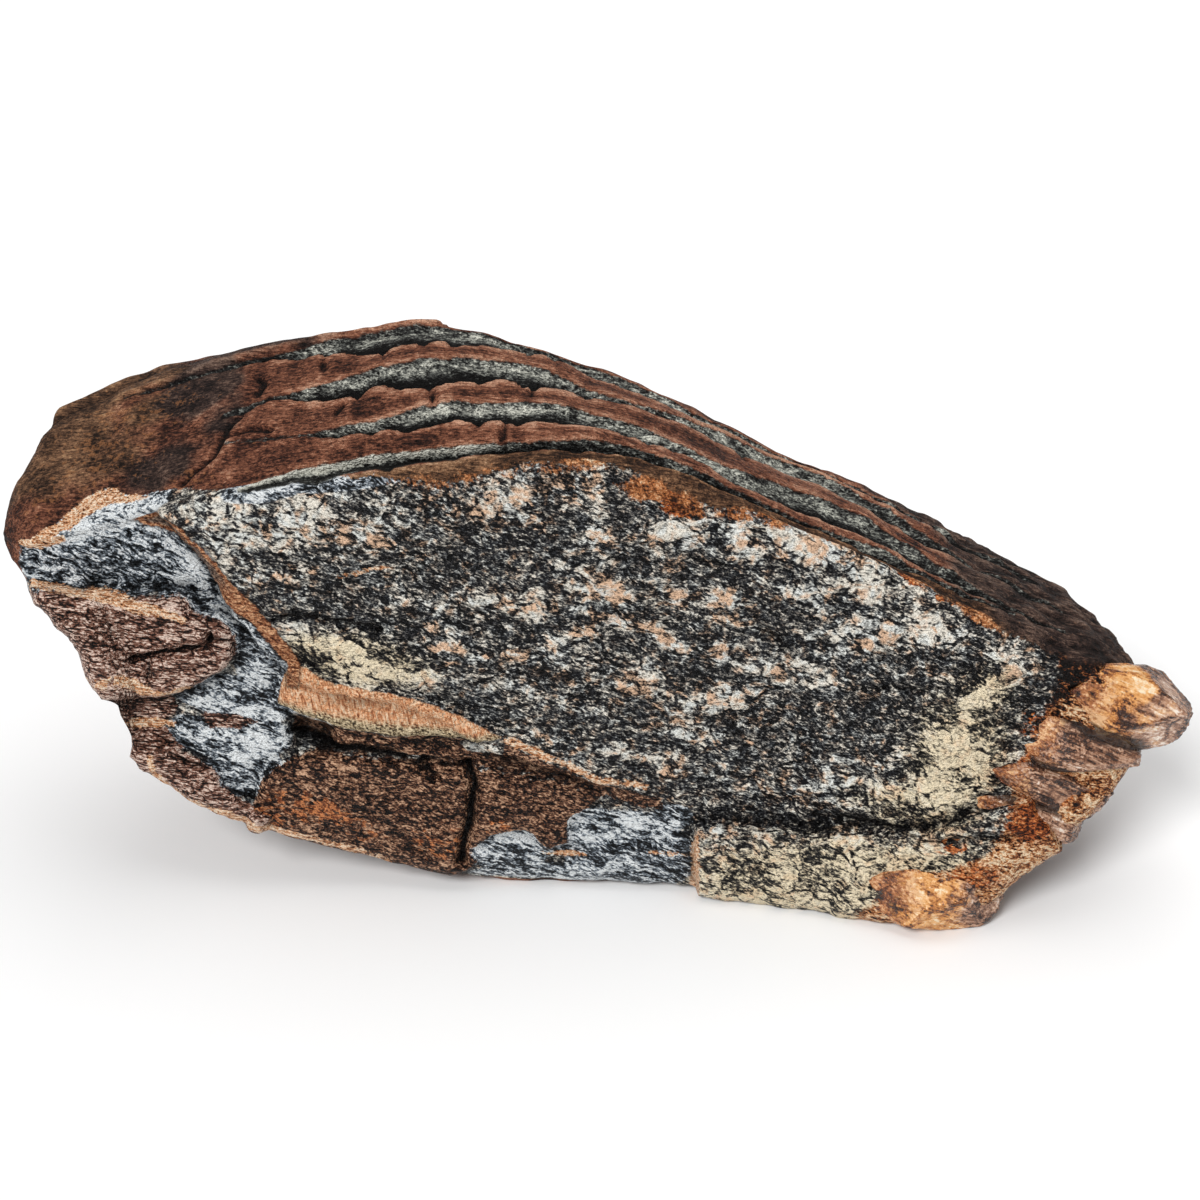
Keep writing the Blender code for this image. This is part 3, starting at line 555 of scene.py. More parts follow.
marks["vein"] = np.where(on_front, inside_bands(wobble_x, wobble_z, (VEIN,)), OUTSIDE)
VEIN_GREY_FROM, VEIN_GREY_RISE = 65, 5
marks["vein_grey"] = smooth_step(z - VEIN_GREY_FROM, VEIN_GREY_RISE)
tan_bands = inside_bands(wobble_x, wobble_z, TAN_BANDS)
tan_strip = inside_bands(wobble_x, across_top + fine_wobble, (TAN_STRIP,))
marks["tan_band"] = np.select([on_front, way < 2], [tan_bands, tan_strip], default=OUTSIDE)

# Blotches of one mineral in the mottled stone, as rows: x, z, half length, half width, how many degrees
# it rises to the right, and how strong it is.
PALE_BLOTCHES = (
    (-66, 78.5, 9, 3.2, 6, 0.7), (-52, 78, 8, 4, 4, 0.85), (-42, 77, 6, 4, -8, 0.7),
    (-33, 78, 4, 2.6, 0, 0.5), (-60, 74.5, 8, 2, 0, 0.6), (-66, 69, 5, 3, -10, 0.45),
    (-14, 83.6, 1.9, 2.2, 0, 1.5), (-17, 84.5, 4, 3, 0, 0.8), (-20.5, 83, 2.5, 1.5, 0, 0.7),
    (-15, 79.2, 6, 1.3, -6, 0.8), (-2, 83, 4, 4, 0, 0.5), (0, 76, 3.2, 2.6, -10, 0.9),
    (1.5, 65.5, 4.2, 2.2, -28, 1.0), (13, 77.6, 4.6, 1.9, 4, 1.2), (8.5, 75.8, 2.2, 1.0, 0, 0.8),
    (17, 75.2, 2, 1.4, 30, 0.8), (25, 76, 1.6, 4.2, -14, 1.0), (28, 73, 1.4, 1.4, 0, 0.9),
    (37, 74.2, 7, 2.6, -26, 1.3), (32.5, 72.2, 1.6, 0.9, -20, 0.8), (46, 71.3, 3, 1.6, -10, 0.8),
    (48.8, 68, 3.4, 3.8, 0, 1.1), (40.5, 66.2, 3, 2, -20, 1.0), (36, 64.6, 4, 1.3, -26, 0.8),
    (38.8, 62.2, 2.4, 1.4, -30, 0.9), (56.5, 65, 3.2, 2.6, -20, 0.9), (45, 58.6, 5, 2.6, 12, 0.8),
    (52.2, 57.8, 1.9, 2.0, 0, 0.9), (48.5, 55.2, 2.8, 1.1, 4, 0.9), (59, 58.6, 4.2, 2.4, -4, 1.2),
    (63.6, 56.2, 3, 1.6, 14, 1.1), (65.5, 62.6, 2.2, 1.6, -20, 0.8), (72.5, 53.4, 3, 1.7, 10, 1.0),
    (75.6, 50, 4, 2, 22, 0.9), (71, 45.8, 4, 2.2, 40, 1.0), (66.5, 42.8, 2.2, 2.6, 0, 1.0),
    (65, 35.8, 4.8, 5.6, -20, 1.25), (63.5, 28.2, 4.6, 4, 0, 1.1), (70, 32, 2.4, 4, 0, 0.8),
    (55, 26.4, 3.6, 1.7, 0, 0.9), (44.5, 27.4, 3.4, 1.8, 0, 0.8), (46, 23.2, 4, 1.2, -8, 0.8),
    (36, 26, 5, 1.2, -12, 0.6), (46.5, 17.2, 3, 2.6, 0, 0.8), (48.5, 12.6, 4, 1.7, 0, 0.9),
    (54.5, 20.6, 2.6, 0.8, 0, 0.7), (57, 13, 4, 2.2, 0, 0.6), (62, 16.4, 3, 2, 0, 0.8),
    (36, 9, 6, 1.6, 0, 0.55), (27, 4, 6, 1.6, 0, 0.7), (23, 9, 3, 1.4, 0, 0.4), (40, 4, 5, 1.4, 0, 0.7),
    (-48, 53.4, 6.8, 2.3, -6, 1.05), (-41, 48.8, 7.6, 2.4, -10, 1.05), (-31.6, 48, 1.8, 1.6, 0, 0.8),
    (-55, 56.6, 3.8, 1.8, -20, 0.6), (-62, 66.6, 1.7, 1.4, 0, 0.8), (-57.5, 67.2, 2.2, 0.7, -6, 0.9),
    (-51.5, 68.6, 1.4, 0.6, 0, 0.8), (-54, 62.4, 1.8, 0.8, 0, 0.5), (-34.5, 63, 2.6, 0.8, 0, 1.0),
    (-31.2, 62.4, 0.7, 1.5, 0, 0.9), (-36.5, 65.6, 1.6, 0.9, 20, 0.9), (-30.6, 58, 1.4, 1.0, 0, 0.9),
    (-28, 54, 3, 0.9, 0, 1.1), (-22, 51.6, 1.8, 1.2, 0, 0.8), (-15, 52.6, 2.6, 0.8, -14, 0.8),
    (-26, 64.2, 2, 1, -10, 0.7), (-22, 63, 1.8, 1, 0, 0.7), (-17.6, 62.6, 3, 1.7, -6, 0.9),
    (-12.6, 61.4, 2.6, 2, -20, 0.8), (-15, 71.6, 2.4, 0.9, 0, 0.6), (-6, 70, 2.6, 1, -20, 0.6),
    (-3.4, 56.6, 2.6, 1.1, 6, 1.1), (-9, 55, 1.1, 1.0, 0, 0.9), (2.4, 59.6, 4.6, 1.2, -14, 1.0),
    (10.6, 56.6, 5.4, 1.1, -34, 1.0), (14.4, 64, 2.4, 1.1, 0, 0.8), (22.6, 64.4, 2.7, 2.1, 0, 1.0),
    (24, 59.4, 4, 1.1, -4, 0.8), (21.4, 53, 2.4, 2.2, -20, 0.8), (22, 43.2, 6, 2.2, 6, 1.0),
    (27, 44, 4, 0.8, 4, 0.8), (6, 46, 3.6, 1.8, -24, 0.7), (5, 51, 4, 1.4, -30, 0.6),
    (9, 48, 3.4, 1.1, -45, 0.8), (16, 39, 3.6, 1.2, -30, 0.7), (18, 35.6, 5, 2.2, -24, 0.6),
    (4, 32.6, 2.6, 1.2, -10, 1.0), (10.4, 31, 4.4, 1.4, -10, 0.9), (13.6, 28.2, 2, 1.6, 0, 0.9),
    (22, 33, 3, 1.0, -20, 0.6), (30, 49.5, 3, 1.1, 0, 0.6), (38, 50, 4, 1.2, -6, 0.9),
    (43, 47.4, 4, 1.8, -10, 0.8), (35, 46.2, 6, 0.9, -6, 0.8), (46.6, 41.6, 2.4, 1.4, 0, 0.7),
    (30, 44, 3, 0.8, 0, 0.6), (-22, 32, 2.9, 1.1, -6, 1.5), (-27, 65, 3, 2, 0, 0.2),
    (-20, 47, 5, 2, -20, 0.3), (-10, 43, 6, 2, -24, 0.35), (33, 35, 4, 1, -14, 0.4),
    (25, 29, 4, 1, -12, 0.5), (52, 31.5, 3, 1.4, 10, 0.6), (55, 35, 2, 1.4, 0, 0.6),
    (66, 12.5, 4, 1.6, 10, 0.5), (54, 8, 5, 1.6, -10, 0.45), (44, 9, 30, 8, 4, 0.3),
)
DARK_BLOTCHES = (
    (84, 48, 8, 4, 30, 1.5), (80, 42, 3, 4, 20, 1.2), (90, 37, 5, 2, 0, 1.0), (-21, 71, 15, 4.6, -4, 0.5),
    (-52, 66, 9, 3, 0, 0.5), (-54, 60.4, 8, 1.2, -2, 0.9), (-40, 60.6, 6, 2.2, 0, 0.7),
    (6, 84, 4, 4, 0, 1.1), (5, 75, 3.2, 4.6, 0, 0.9), (18, 71, 5, 1.2, -10, 1.0),
    (24, 68.4, 8, 3.4, -6, 0.8), (33.6, 69.6, 6, 1.5, -24, 1.1), (15.6, 47.4, 3.6, 2.3, 0, 1.1),
    (32, 56, 4, 2.4, -20, 1.2), (31, 62, 5, 2, -20, 0.6), (31, 38, 9, 5, 0, 0.7),
    (50, 44, 14, 3.4, -4, 1.0), (48, 37, 10, 4, -6, 0.9), (60, 52, 6, 2, 4, 1.1),
    (67.6, 52, 2.4, 4.4, 10, 1.0), (76, 43.4, 4, 2.4, 0, 0.9), (79, 47, 2.6, 3.6, 0, 0.6),
    (71, 58.6, 6, 2.4, -28, 1.1), (52, 19, 12, 1.2, -4, 0.9), (34, 18, 14, 2.4, -4, 0.6),
    (42, 66.5, 1.2, 3, 0, 0.5), (55.5, 61, 1.4, 2.2, 0, 0.8), (43, 62.6, 1.5, 3, 20, 0.7),
    (-18, 76, 10, 3, -4, 0.8), (5, 69.6, 6, 2, -10, 0.5), (-46, 61.6, 8, 1.2, -4, 0.7),
    (-30, 51, 2, 5, 0, 0.4), (-20, 55, 8, 3, -20, 0.4), (-8, 47, 8, 3, -20, 0.4),
    (-25, 43, 7, 1.8, -18, 0.7), (-4, 38, 10, 2, -24, 0.5), (12, 34, 10, 1.2, -16, 0.8),
    (30, 30, 8, 3, -14, 0.5), (-38, 33.4, 16, 1.7, -2, 0.6), (-5, 25.4, 14, 2, -14, 1.0),
    (14, 25, 10, 2, -4, 0.7), (-2, 74, 8, 1.2, 0, 0.3), (-10, 84, 1.6, 3, 0, 1.0), (11, 12, 6, 2, 0, 0.5),
    (58, 44, 5, 4, 0, 0.6), (70, 38.4, 3, 2.2, 0, 0.6), (20, 17.6, 2.6, 1.4, 0, 0.9),
    (28, 21, 6, 1.6, -6, 0.5), (60, 21.4, 9, 1.2, 2, 0.6), (-61, 64, 6, 1, 0, 0.6),
)
TAN_BLOTCHES = (
    (-47, 76, 5, 2.4, 0, 0.8), (-39, 74.6, 4, 1.2, 0, 0.8), (-60, 76.4, 3, 1.6, 0, 0.6),
    (-23, 81, 9, 1.6, -4, 0.9), (-29, 83, 4, 3, 0, 0.7), (-20.5, 83, 2.4, 1.4, 0, 0.8),
    (-8, 85, 7, 2.4, 6, 0.8), (-15, 79.2, 5, 1.2, -8, 0.7), (1.6, 65.5, 4.4, 2.4, -28, 1.1),
    (0, 76, 3.4, 2.8, 0, 0.5), (8.6, 75.8, 2.2, 1, 0, 0.9), (17, 75.4, 2, 1.4, 0, 0.8),
    (25, 76, 2, 4, -14, 0.5), (40, 72.6, 4, 2, -24, 0.7), (32.5, 72.2, 1.6, 0.9, 0, 1.2),
    (46, 71.4, 3, 1.4, 0, 1.0), (52.2, 57.8, 1.9, 2, 0, 1.0), (48.5, 55.2, 2.8, 1.1, 0, 0.9),
    (75.6, 50, 4, 2.4, 20, 0.8), (66, 36, 4.4, 5, 0, 0.45), (72, 32, 3, 6, 0, 0.8),
    (55, 26.4, 4, 2, 0, 0.8), (46, 17.4, 3, 2.4, 0, 0.8), (57, 13.4, 5, 2.6, 0, 1.0),
    (-47, 53.4, 6, 2, -6, 0.1), (-31.6, 48, 1.8, 1.6, 0, 1.0), (-62, 66.4, 1.8, 1.5, 0, 1.0),
    (-57.5, 67.2, 2.2, 0.8, 0, 1.0), (-51.5, 68.6, 1.4, 0.7, 0, 1.1), (-30.6, 58, 1.4, 1, 0, 1.0),
    (-28, 53.6, 3.2, 1, 0, 1.2), (-15, 52.6, 2.6, 0.9, -14, 1.1), (-16, 62.4, 5, 2, -10, 0.5),
    (-3.4, 56.6, 2.6, 1.2, 0, 0.8), (2.4, 59.6, 4.6, 1.3, -14, 1.0), (10.6, 56.6, 5.6, 1.2, -34, 1.3),
    (14.4, 64, 2.6, 1.2, 0, 1.0), (23, 63.4, 2.7, 2.4, 0, 0.9), (24, 59.4, 4, 1.2, 0, 1.0),
    (22, 53, 2.2, 1.8, 0, 0.9), (23, 42.6, 4, 2, 0, 0.7), (6, 46, 4, 2, -24, 1.0),
    (14, 40, 5, 1.6, -30, 0.8), (13.6, 28.2, 2.4, 1.6, 0, 1.0), (-9, 36, 3, 1.4, 0, 0.7),
    (-4, 33, 1.4, 1, 0, 0.9), (28, 13, 8, 4, 0, 0.5), (36, 24, 8, 2, -10, 0.6), (64, 20, 8, 3, 0, 0.9),
    (14, 70.4, 2, 1.2, 0, 0.7), (30, 46, 4, 1, 0, 0.6), (-12, 50, 8, 1.4, -20, 0.4),
    (30, 40, 6, 4, 0, 0.35), (28, 3, 9, 2.4, 0, 0.5),
)
RUST_BLOTCHES = (
    (-52, 18.5, 4, 2.4, -10, 1.0), (-58, 20, 5, 3, -20, 0.7), (-63, 17, 5, 2, -20, 0.6),
    (-45, 14, 6, 3, -10, 0.4), (-30, 12, 5, 4, 0, 0.6), (-20, 15, 5, 2, 0, 0.5), (-12, 18, 5, 2, -10, 0.3),
    (14, 82, 4, 2.4, -20, 0.9), (10, 84.4, 3.4, 1.6, -10, 1.1), (81, 30, 4, 5, 0, 1.0),
    (80, 22, 5, 4, 0, 1.0), (85, 27, 4, 4, 0, 0.8), (80, 40, 4, 3, 0, 0.6), (70, 12, 6, 3, 0, 0.7),
    (84, 55, 4, 1.5, -20, 0.6), (66, 17.4, 4, 2, 0, 0.6), (-96, 62.4, 4, 0.8, 0, 0.8),
    (56, 67, 3, 1.2, -30, 0.8), (62, 63.6, 3, 1.2, -30, 0.7),
)
STREAKED_PATCHES = (
    (-91, 75.5, 13, 3.6, 20, 1.3), (-100, 66, 7, 4, 0, 1.3), (-88, 68, 12, 6, 0, 1.4),
    (-76, 67, 6, 6, -40, 1.4), (-70, 59, 5, 3, -40, 1.2), (-64, 54, 4, 4, -60, 1.2),
    (-62, 47, 5, 5, 0, 1.1), (-68, 41, 10, 4, -10, 1.3), (-68, 33, 9, 4, 0, 1.3), (-67, 26, 7, 4, 0, 1.4),
    (-77, 34, 4, 3, 0, 1.2), (-18, 10, 8, 4, 0, 1.3), (-3, 14, 6, 5, 0, 1.2), (6, 9, 11, 9, 0, 1.2),
    (-10, 4, 14, 2.4, 0, 1.1), (-46, 85, 14, 1.6, 8, 0.9), (-60, 82, 8, 1.4, 10, 0.8),
    (14, 18, 4, 3, 0, 0.8),
)
STREAK_LIGHT = (
    (-92, 74.8, 9, 1.3, 22, 0.9), (-99, 71, 8, 1.2, 12, 1.1), (-88, 73.6, 6, 1.2, 20, 1.0),
    (-82, 76.4, 4, 1.4, 14, 1.0), (-75, 67, 6, 1.7, -42, 1.2), (-74, 62.8, 5, 1.1, -14, 1.4),
    (-68.5, 58.4, 3, 1.6, -30, 1.0), (-94, 64.4, 4, 0.9, 8, 0.7), (-75, 39.6, 4, 1.1, -8, 1.3),
    (-66, 38.6, 7, 1.5, -12, 1.1), (-64, 32.6, 6, 1.4, -6, 1.4), (-66, 29.4, 5, 1.2, 0, 1.1),
    (-76, 33.6, 2.4, 1.6, 0, 0.9), (-64, 46, 4, 2.4, 20, 0.8), (-66, 25, 5, 1.2, -8, 0.5),
    (-64, 22.6, 5, 0.9, -10, 0.6), (-16, 12.6, 4, 1.6, 0, 1.5), (-20, 11, 4, 1.6, 10, 0.8),
    (6, 16.6, 2.4, 1.8, 0, 1.5), (-4, 17, 2.4, 1.4, 0, 1.2), (-4, 13, 4, 1.2, -4, 1.1),
    (3, 13, 3, 1, 0, 0.8), (6, 8, 3, 1.2, 0, 1.0), (-4, 5, 4, 1, 0, 0.9), (2, 5, 2, 1.4, 0, 1.0),
    (8, 18.6, 5, 0.8, -14, 0.8), (13, 17, 4, 1.2, 0, 0.6), (-10, 1.5, 14, 1, 0, 1.1),
    (-22, 4, 4, 1, 0, 0.6), (-48, 87, 12, 1.0, 7, 1.3), (-56, 84, 4, 1.2, 12, 1.2),
    (-60, 80.6, 5, 1.0, 8, 0.7), (13, 12, 3, 1, 0, 0.6),
)


def blotched(across, up, blotches):
    """How strongly soft oval blotches cover each point."""
    cover = np.zeros(across.shape)
    for middle_x, middle_z, half_length, half_width, rising, strength in blotches:
        cos, sin = math.cos(math.radians(rising)), math.sin(math.radians(rising))
        off_x, off_z = across - middle_x, up - middle_z
        far_along = (off_x * cos + off_z * sin) / half_length
        far_across = (off_z * cos - off_x * sin) / half_width
        reach = np.hypot(far_along, far_across)
        cover = np.maximum(cover, strength * np.clip(1.55 - reach, 0, 1))
    return cover


def strewn(seed, count, length):
    """Blotches for the back, which the photograph doesn't show: strewn evenly, most of them lying flat."""
    dice = np.random.default_rng(seed)
    rows = np.stack([
        dice.uniform(-95, 95, count), dice.uniform(2, 88, count), dice.uniform(0.6, 1.4, count) * length,
        dice.uniform(0.2, 0.6, count) * length, dice.uniform(-30, 20, count), dice.uniform(0.5, 1.2, count),
    ], axis=1)
    return rows


# The stone that lies over the crest at the left has the front's blotches too.
near_front = on_front | ((way < 1.35) & (x < -60))
for name, blotches, seed, count, length in (
    ("pale", PALE_BLOTCHES, 1, 60, 6),
    ("dark", DARK_BLOTCHES, 2, 40, 9),
    ("tan", TAN_BLOTCHES, 3, 50, 5),
    ("rust", RUST_BLOTCHES, 4, 12, 6),
    ("streaked", STREAKED_PATCHES, 5, 14, 12),
    ("streak_light", STREAK_LIGHT, 6, 30, 7),
):
    front = blotched(x, z, blotches)
    back = blotched(x, z, strewn(seed, count, length))
    marks[name] = np.where(near_front, front, back)
# The brown plate and the dark rows are granular, except where this white spot breaks them.
WHITE_SPOT = (-22, 32, 2.9, 1.1, -6, 1.5)
granular += OUTSIDE * blotched(x, z, (WHITE_SPOT,))
marks["granular"] = np.where(on_front, granular, OUTSIDE)

# On the rind: olive and purple clouds and tan flecks, in rows like those above, but with the share of the
# way across the top in place of z.
RIND_OLIVE = (
    (-100, 0.6, 9, 12, 0, 1.0), (-92, 0.4, 9, 8, 0, 0.6), (-84, 0.62, 6, 5, 0, 0.7),
    (-96, 0.95, 14, 8, 0, 1.0), (-82, 0.88, 10, 4, 0, 0.8),
)
RIND_PURPLE = (
    (-75, 0.66, 8, 8, 0, 1.0), (-80, 0.22, 8, 6, 0, 0.7), (-70, 0.45, 5, 8, 0, 0.6),
    (92, 0.3, 24, 16, 0, 1.3), (80, 0.8, 24, 12, 0, 1.0), (-66, 0.92, 16, 5, 0, 0.8),
)
RIND_FLECKS = (
    (-92, 0.5, 9, 12, 0, 1.0), (-102, 0.3, 4, 8, 0, 0.7), (-84, 0.6, 7, 6, 0, 0.8),
    (-74, 0.1, 4, 3, 0, 0.7),
)
# The share is taken times this, about the width of the top in millimetres.
TOP_SPAN = 42
for name, blotches in (("olive", RIND_OLIVE), ("purple", RIND_PURPLE), ("flecks", RIND_FLECKS)):
    in_mm = [(at, share * TOP_SPAN, *rest) for at, share, *rest in blotches]
    marks[name] = np.where(on_top, blotched(x, share_top * TOP_SPAN, in_mm), 0)

# Towards the finger ends the stone turns to rust and amber, right of this line (z, x) on every side.
AMBER_FROM = (
    (-5, 46), (4, 51), (10, 58), (16, 72), (22, 75.5), (28, 77.5), (34, 79), (40, 81), (46, 83), (52, 84),
    (60, 92), (100, 110),
)
marks["amber"] = x - np.interp(z, *np.array(AMBER_FROM).T) + 1.2 * ripples(flat, 5, 50)

# The plate along the crest, in front of the first groove, is olive-brown and tapers out at its left. Its
# lower edge hangs over the broken face in golden strands.
CREST_PLATE_FROM, CREST_PLATE_TAPER = -57, 0.3
first_near = on_smooth_line(GROOVES[0], np.clip(x, GROOVES[0][0][0], GROOVES[0][-1][0]))[:, 0]
crest_plate = np.minimum(first_near * top_width - across_top, (x - CREST_PLATE_FROM) * CREST_PLATE_TAPER)
marks["crest_plate"] = np.where(way < 2, crest_plate, OUTSIDE)
GOLD_EDGES = (
    (-30, 85.5, 7, 1.6, 0, 0.5), (-20, 87, 8, 1.2, 6, 0.55), (-6, 88.5, 7, 1.2, 0, 0.6),
    (8, 84.5, 5, 1.8, -12, 1.0), (15, 81.6, 4, 1.8, -24, 0.9), (24, 79.6, 4, 1.2, -10, 0.8),
    (31, 78, 4, 1.2, -20, 0.8), (40, 74.6, 5, 0.9, -24, 0.7), (52, 70, 4, 1.1, -28, 0.9),
    (58, 66.8, 4, 1.1, -30, 0.9), (68, 60, 6, 0.9, -34, 0.7), (-90, 77, 12, 1.2, 22, 0.7),
)
marks["gold"] = np.where(on_front, blotched(x, z, GOLD_EDGES), 0)

# The block at the lower right and the cream stone above it are yellower than the rest.
WARM_PATCHES = (
    (-45, 51, 13, 4.6, -8, 1.2), (66, 34, 9, 13, -10, 1.1), (50, 8, 34, 9, 4, 1.2), (70, 46, 6, 5, 40, 1.0),
    (60, 24, 12, 5, 0, 0.9),
)
marks["warm"] = np.where(on_front, np.clip(blotched(x, z, WARM_PATCHES), 0, 1), 0.2)

# Slow wanderings of the stone's borders and shades, and how the grain bends at each point.
marks["wander"] = 0.5 + 0.3 * ripples(flat, 3.2, 61)
marks["cloud"] = 0.5 + 0.24 * ripples(flat, 7, 62) + 0.16 * ripples(flat, 3, 63)
bend = [0.7 * ripples(flat, 1.9, 64 + axis) + 1.0 * ripples(flat, 5, 67 + axis) for axis in range(3)]

# The relief of the whole block: steps and ribs, then lumps from hand size down to the grain that shows
# from a step away. Pale mineral stands a little proud of the dark.
LUMPS = ((0.9, 22), (0.55, 7.5), (0.25, 3.6))
RIB_CRACK_DEPTH = 1.1
BLURRED_OVER = range(-4, 5)
ROPES_FROM, ROPES_LENGTH, ROPES_BEHIND = 52, 50, 0.55
edge_fade = smooth_step(0.5 - np.abs(way - 0.5), 0.06)
back_fade = smooth_step(0.5 - np.abs(way - 2.5), 0.10)
lumps = sum(high * ripples(flat, length, 3 + number) for number, (high, length) in enumerate(LUMPS))
grit = ripples(along_grain(1.8), 1.3, 51)
stone_here = smooth_step(-marks["rind"], 1)
fine = stone_here * (0.35 * np.clip(marks["pale"], 0, 1) + 0.22 * grit + 0.16 * ripples(flat, 2.2, 52))
bark_here = smooth_step(marks["bark"], 1)
fine += bark_here * 0.34 * ripples(along_grain(6), 1.1, 53)
fine += (1 - stone_here) * 0.14 * ripples(along_grain(4), 1.4, 54)
fine += smooth_step(inside, 1) * 0.28 * ripples(flat, 1.5, 55)
ropes = 0.9 * ripples(along_grain(5), 3.2, 56) + 0.5 * ripples(along_grain(3), 1.6, 57)
roped = np.maximum(smooth_step(x - ROPES_FROM, ROPES_LENGTH), ROPES_BEHIND * (way > 2.1))
fine += (1 - stone_here) * roped * ropes
cuts = -RIB_CRACK_DEPTH * smooth_step(0.5 - crack_gap, 1.2) * on_top
relief = edge_fade * front_relief + back_fade * back_relief + ribs_relief + lumps + fine + cuts
relief = relief.reshape(grid_shape)
blurred = relief
for axis in (0, 1):
    blurred = sum(np.roll(blurred, offset, axis) for offset in BLURRED_OVER) / len(BLURRED_OVER)
# How far each point lies below the blurred relief round it. The finish darkens the colour there as painted
# shade.
marks["hollow"] = np.clip(blurred - relief, -2, 2).reshape(-1)

# The mesh: a grid whose rows run along the tooth and whose columns wrap round it. Its markings ride on
# its points. The plane of the table cuts the flat spot that the tooth rests on.
sheet = bmesh.new()
bmesh.ops.create_grid(sheet, x_segments=RINGS - 1, y_segments=grid_shape[1] - 1, size=1)
order = sorted(sheet.verts, key=lambda vert: (round(vert.co.x, 6), round(vert.co.y, 6)))
for number, vert in enumerate(order):
    vert.index = number
sheet.verts.sort()
block_mesh = bpy.data.meshes.new("tooth_block")
sheet.to_mesh(block_mesh)
sheet.free()
finished = block_points + block_normals * relief[..., None]
finished[0] = finished[0].mean(axis=0)
finished[-1] = finished[-1].mean(axis=0)
finished = (finished - (MIDDLE_X, MIDDLE_Y, 0)) * MM
block_mesh.vertices.foreach_set("co", finished.reshape(-1).astype(np.float32))
for name, values in marks.items():
    layer = block_mesh.attributes.new(name, "FLOAT", "POINT")
    layer.data.foreach_set("value", np.asarray(values, np.float32).reshape(-1))
layer = block_mesh.attributes.new("bend", "FLOAT_VECTOR", "POINT")
layer.data.foreach_set("vector", np.stack(bend, axis=1).astype(np.float32).reshape(-1))
body = bmesh.new()
body.from_mesh(block_mesh)
bmesh.ops.remove_doubles(body, verts=body.verts, dist=0.001 * MM)
everything = body.verts[:] + body.edges[:] + body.faces[:]
cut = bmesh.ops.bisect_plane(body, geom=everything, plane_co=(0, 0, 0), plane_no=(0, 0, -1), clear_outer=True)
rim = [edge for edge in cut["geom_cut"] if isinstance(edge, bmesh.types.BMEdge)]
bmesh.ops.triangle_fill(body, use_beauty=True, edges=rim)
bmesh.ops.recalc_face_normals(body, faces=body.faces)
for face in body.faces:
    face.smooth = True
body.to_mesh(block_mesh)
body.free()
tooth_block = bpy.data.objects.new("tooth_block", block_mesh)
bpy.context.scene.collection.objects.link(tooth_block)

# The block's finish is painted in layers, one mineral over another, each where its marking says, with
# borders that break up along the grain. Sizes are in millimetres.
stone = bpy.data.materials.new("fossil stone")
stone.use_nodes = True
tree = stone.node_tree
surface = tree.nodes["Principled BSDF"]


def pigment(red, green, blue):
    """A colour from 0 to 255 as seen, as the light that it reflects."""
    return tuple(((part / 255 + 0.055) / 1.055) ** 2.4 for part in (red, green, blue)) + (1,)


def node(kind, inputs, **settings):
    """A shader node with its settings and inputs, which may be values or other nodes' outputs."""
    made = tree.nodes.new("ShaderNode" + kind)
    for name, value in settings.items():
        setattr(made, name, value)
    for name, value in inputs.items():
        if isinstance(value, bpy.types.NodeSocket):
            tree.links.new(value, made.inputs[name])
        else:
            made.inputs[name].default_value = value
    return made


def sum_of(first, *more):
    for other in more:
        first = node("Math", {0: first, 1: other}, operation="ADD").outputs[0]
    return first


def times(value, factor):
    return node("Math", {0: value, 1: factor}, operation="MULTIPLY").outputs[0]


def marking(name):
    return node("Attribute", {}, attribute_name=name).outputs["Fac"]


def above(value, level, softness=0.05):
    """0 where the value is under the level, 1 where it is over it, with a soft step between."""
    limits = {"Value": value, "From Min": level - softness, "From Max": level + softness}
    return node("MapRange", limits, interpolation_type="SMOOTHSTEP").outputs["Result"]


def mottle(where, size, detail=3, roughness=0.6, distortion=0):
    """Cloudy noise round 0.5 with grains of the given size."""
    inputs = {"Vector": where, "Scale": 1 / size, "Detail": detail, "Roughness": roughness}
    inputs["Distortion"] = distortion
    return node("TexNoise", inputs).outputs["Fac"]


def grain(where, stretch, falling=0):
    """The place measured along a grain that falls to the right by some degrees, stretched along it."""
    inputs = {"Vector": where, "Rotation": (0, math.radians(falling), 0), "Scale": (stretch, 1, 1)}
    return node("Mapping", inputs, vector_type="TEXTURE").outputs["Vector"]


def mixed(share, first, second, blend="MIX"):
    made = tree.nodes.new("ShaderNodeMix")
    made.data_type = "RGBA"
    made.blend_type = blend
    for socket, value in zip((made.inputs[0], made.inputs[6], made.inputs[7]), (share, first, second)):
        if isinstance(value, bpy.types.NodeSocket):
            tree.links.new(value, socket)
        else:
            socket.default_value = value
    return made.outputs[2]


def shades(value, *stops):
    """A colour for each level of a value. Each stop is the level and its red, green and blue as seen."""
    made = node("ValToRGB", {"Fac": value})
    ramp = made.color_ramp
    while len(ramp.elements) < len(stops):
        ramp.elements.new(0.5)
    for element, (level, *seen) in zip(ramp.elements, stops):
        element.position = level
        element.color = pigment(*seen)
    return made.outputs["Color"]


def grains(where, size):
    """Irregular grains that touch: a random level and a random tint for each one."""
    cells = node("TexVoronoi", {"Vector": where, "Scale": 1 / size}).outputs["Color"]
    split = node("SeparateColor", {"Color": cells})
    return split.outputs["Red"], split.outputs["Green"]


def edge_gap(where, size):
    """How far each point is from the edge of its grain, in grains of the given size."""
    cells = node("TexVoronoi", {"Vector": where, "Scale": 1 / size}, feature="DISTANCE_TO_EDGE")
    return cells.outputs["Distance"]


def place_in_mm():
    place = node("TexCoord", {}).outputs["Object"]
    return node("VectorMath", {0: place, "Scale": 1 / MM}, operation="SCALE").outputs["Vector"]


def roughen(height, strength, deep):
    """Fine bumps on the surface, as high as the value says."""
    bump = node("Bump", {"Height": height, "Strength": strength, "Distance": deep})
    tree.links.new(bump.outputs["Normal"], surface.inputs["Normal"])


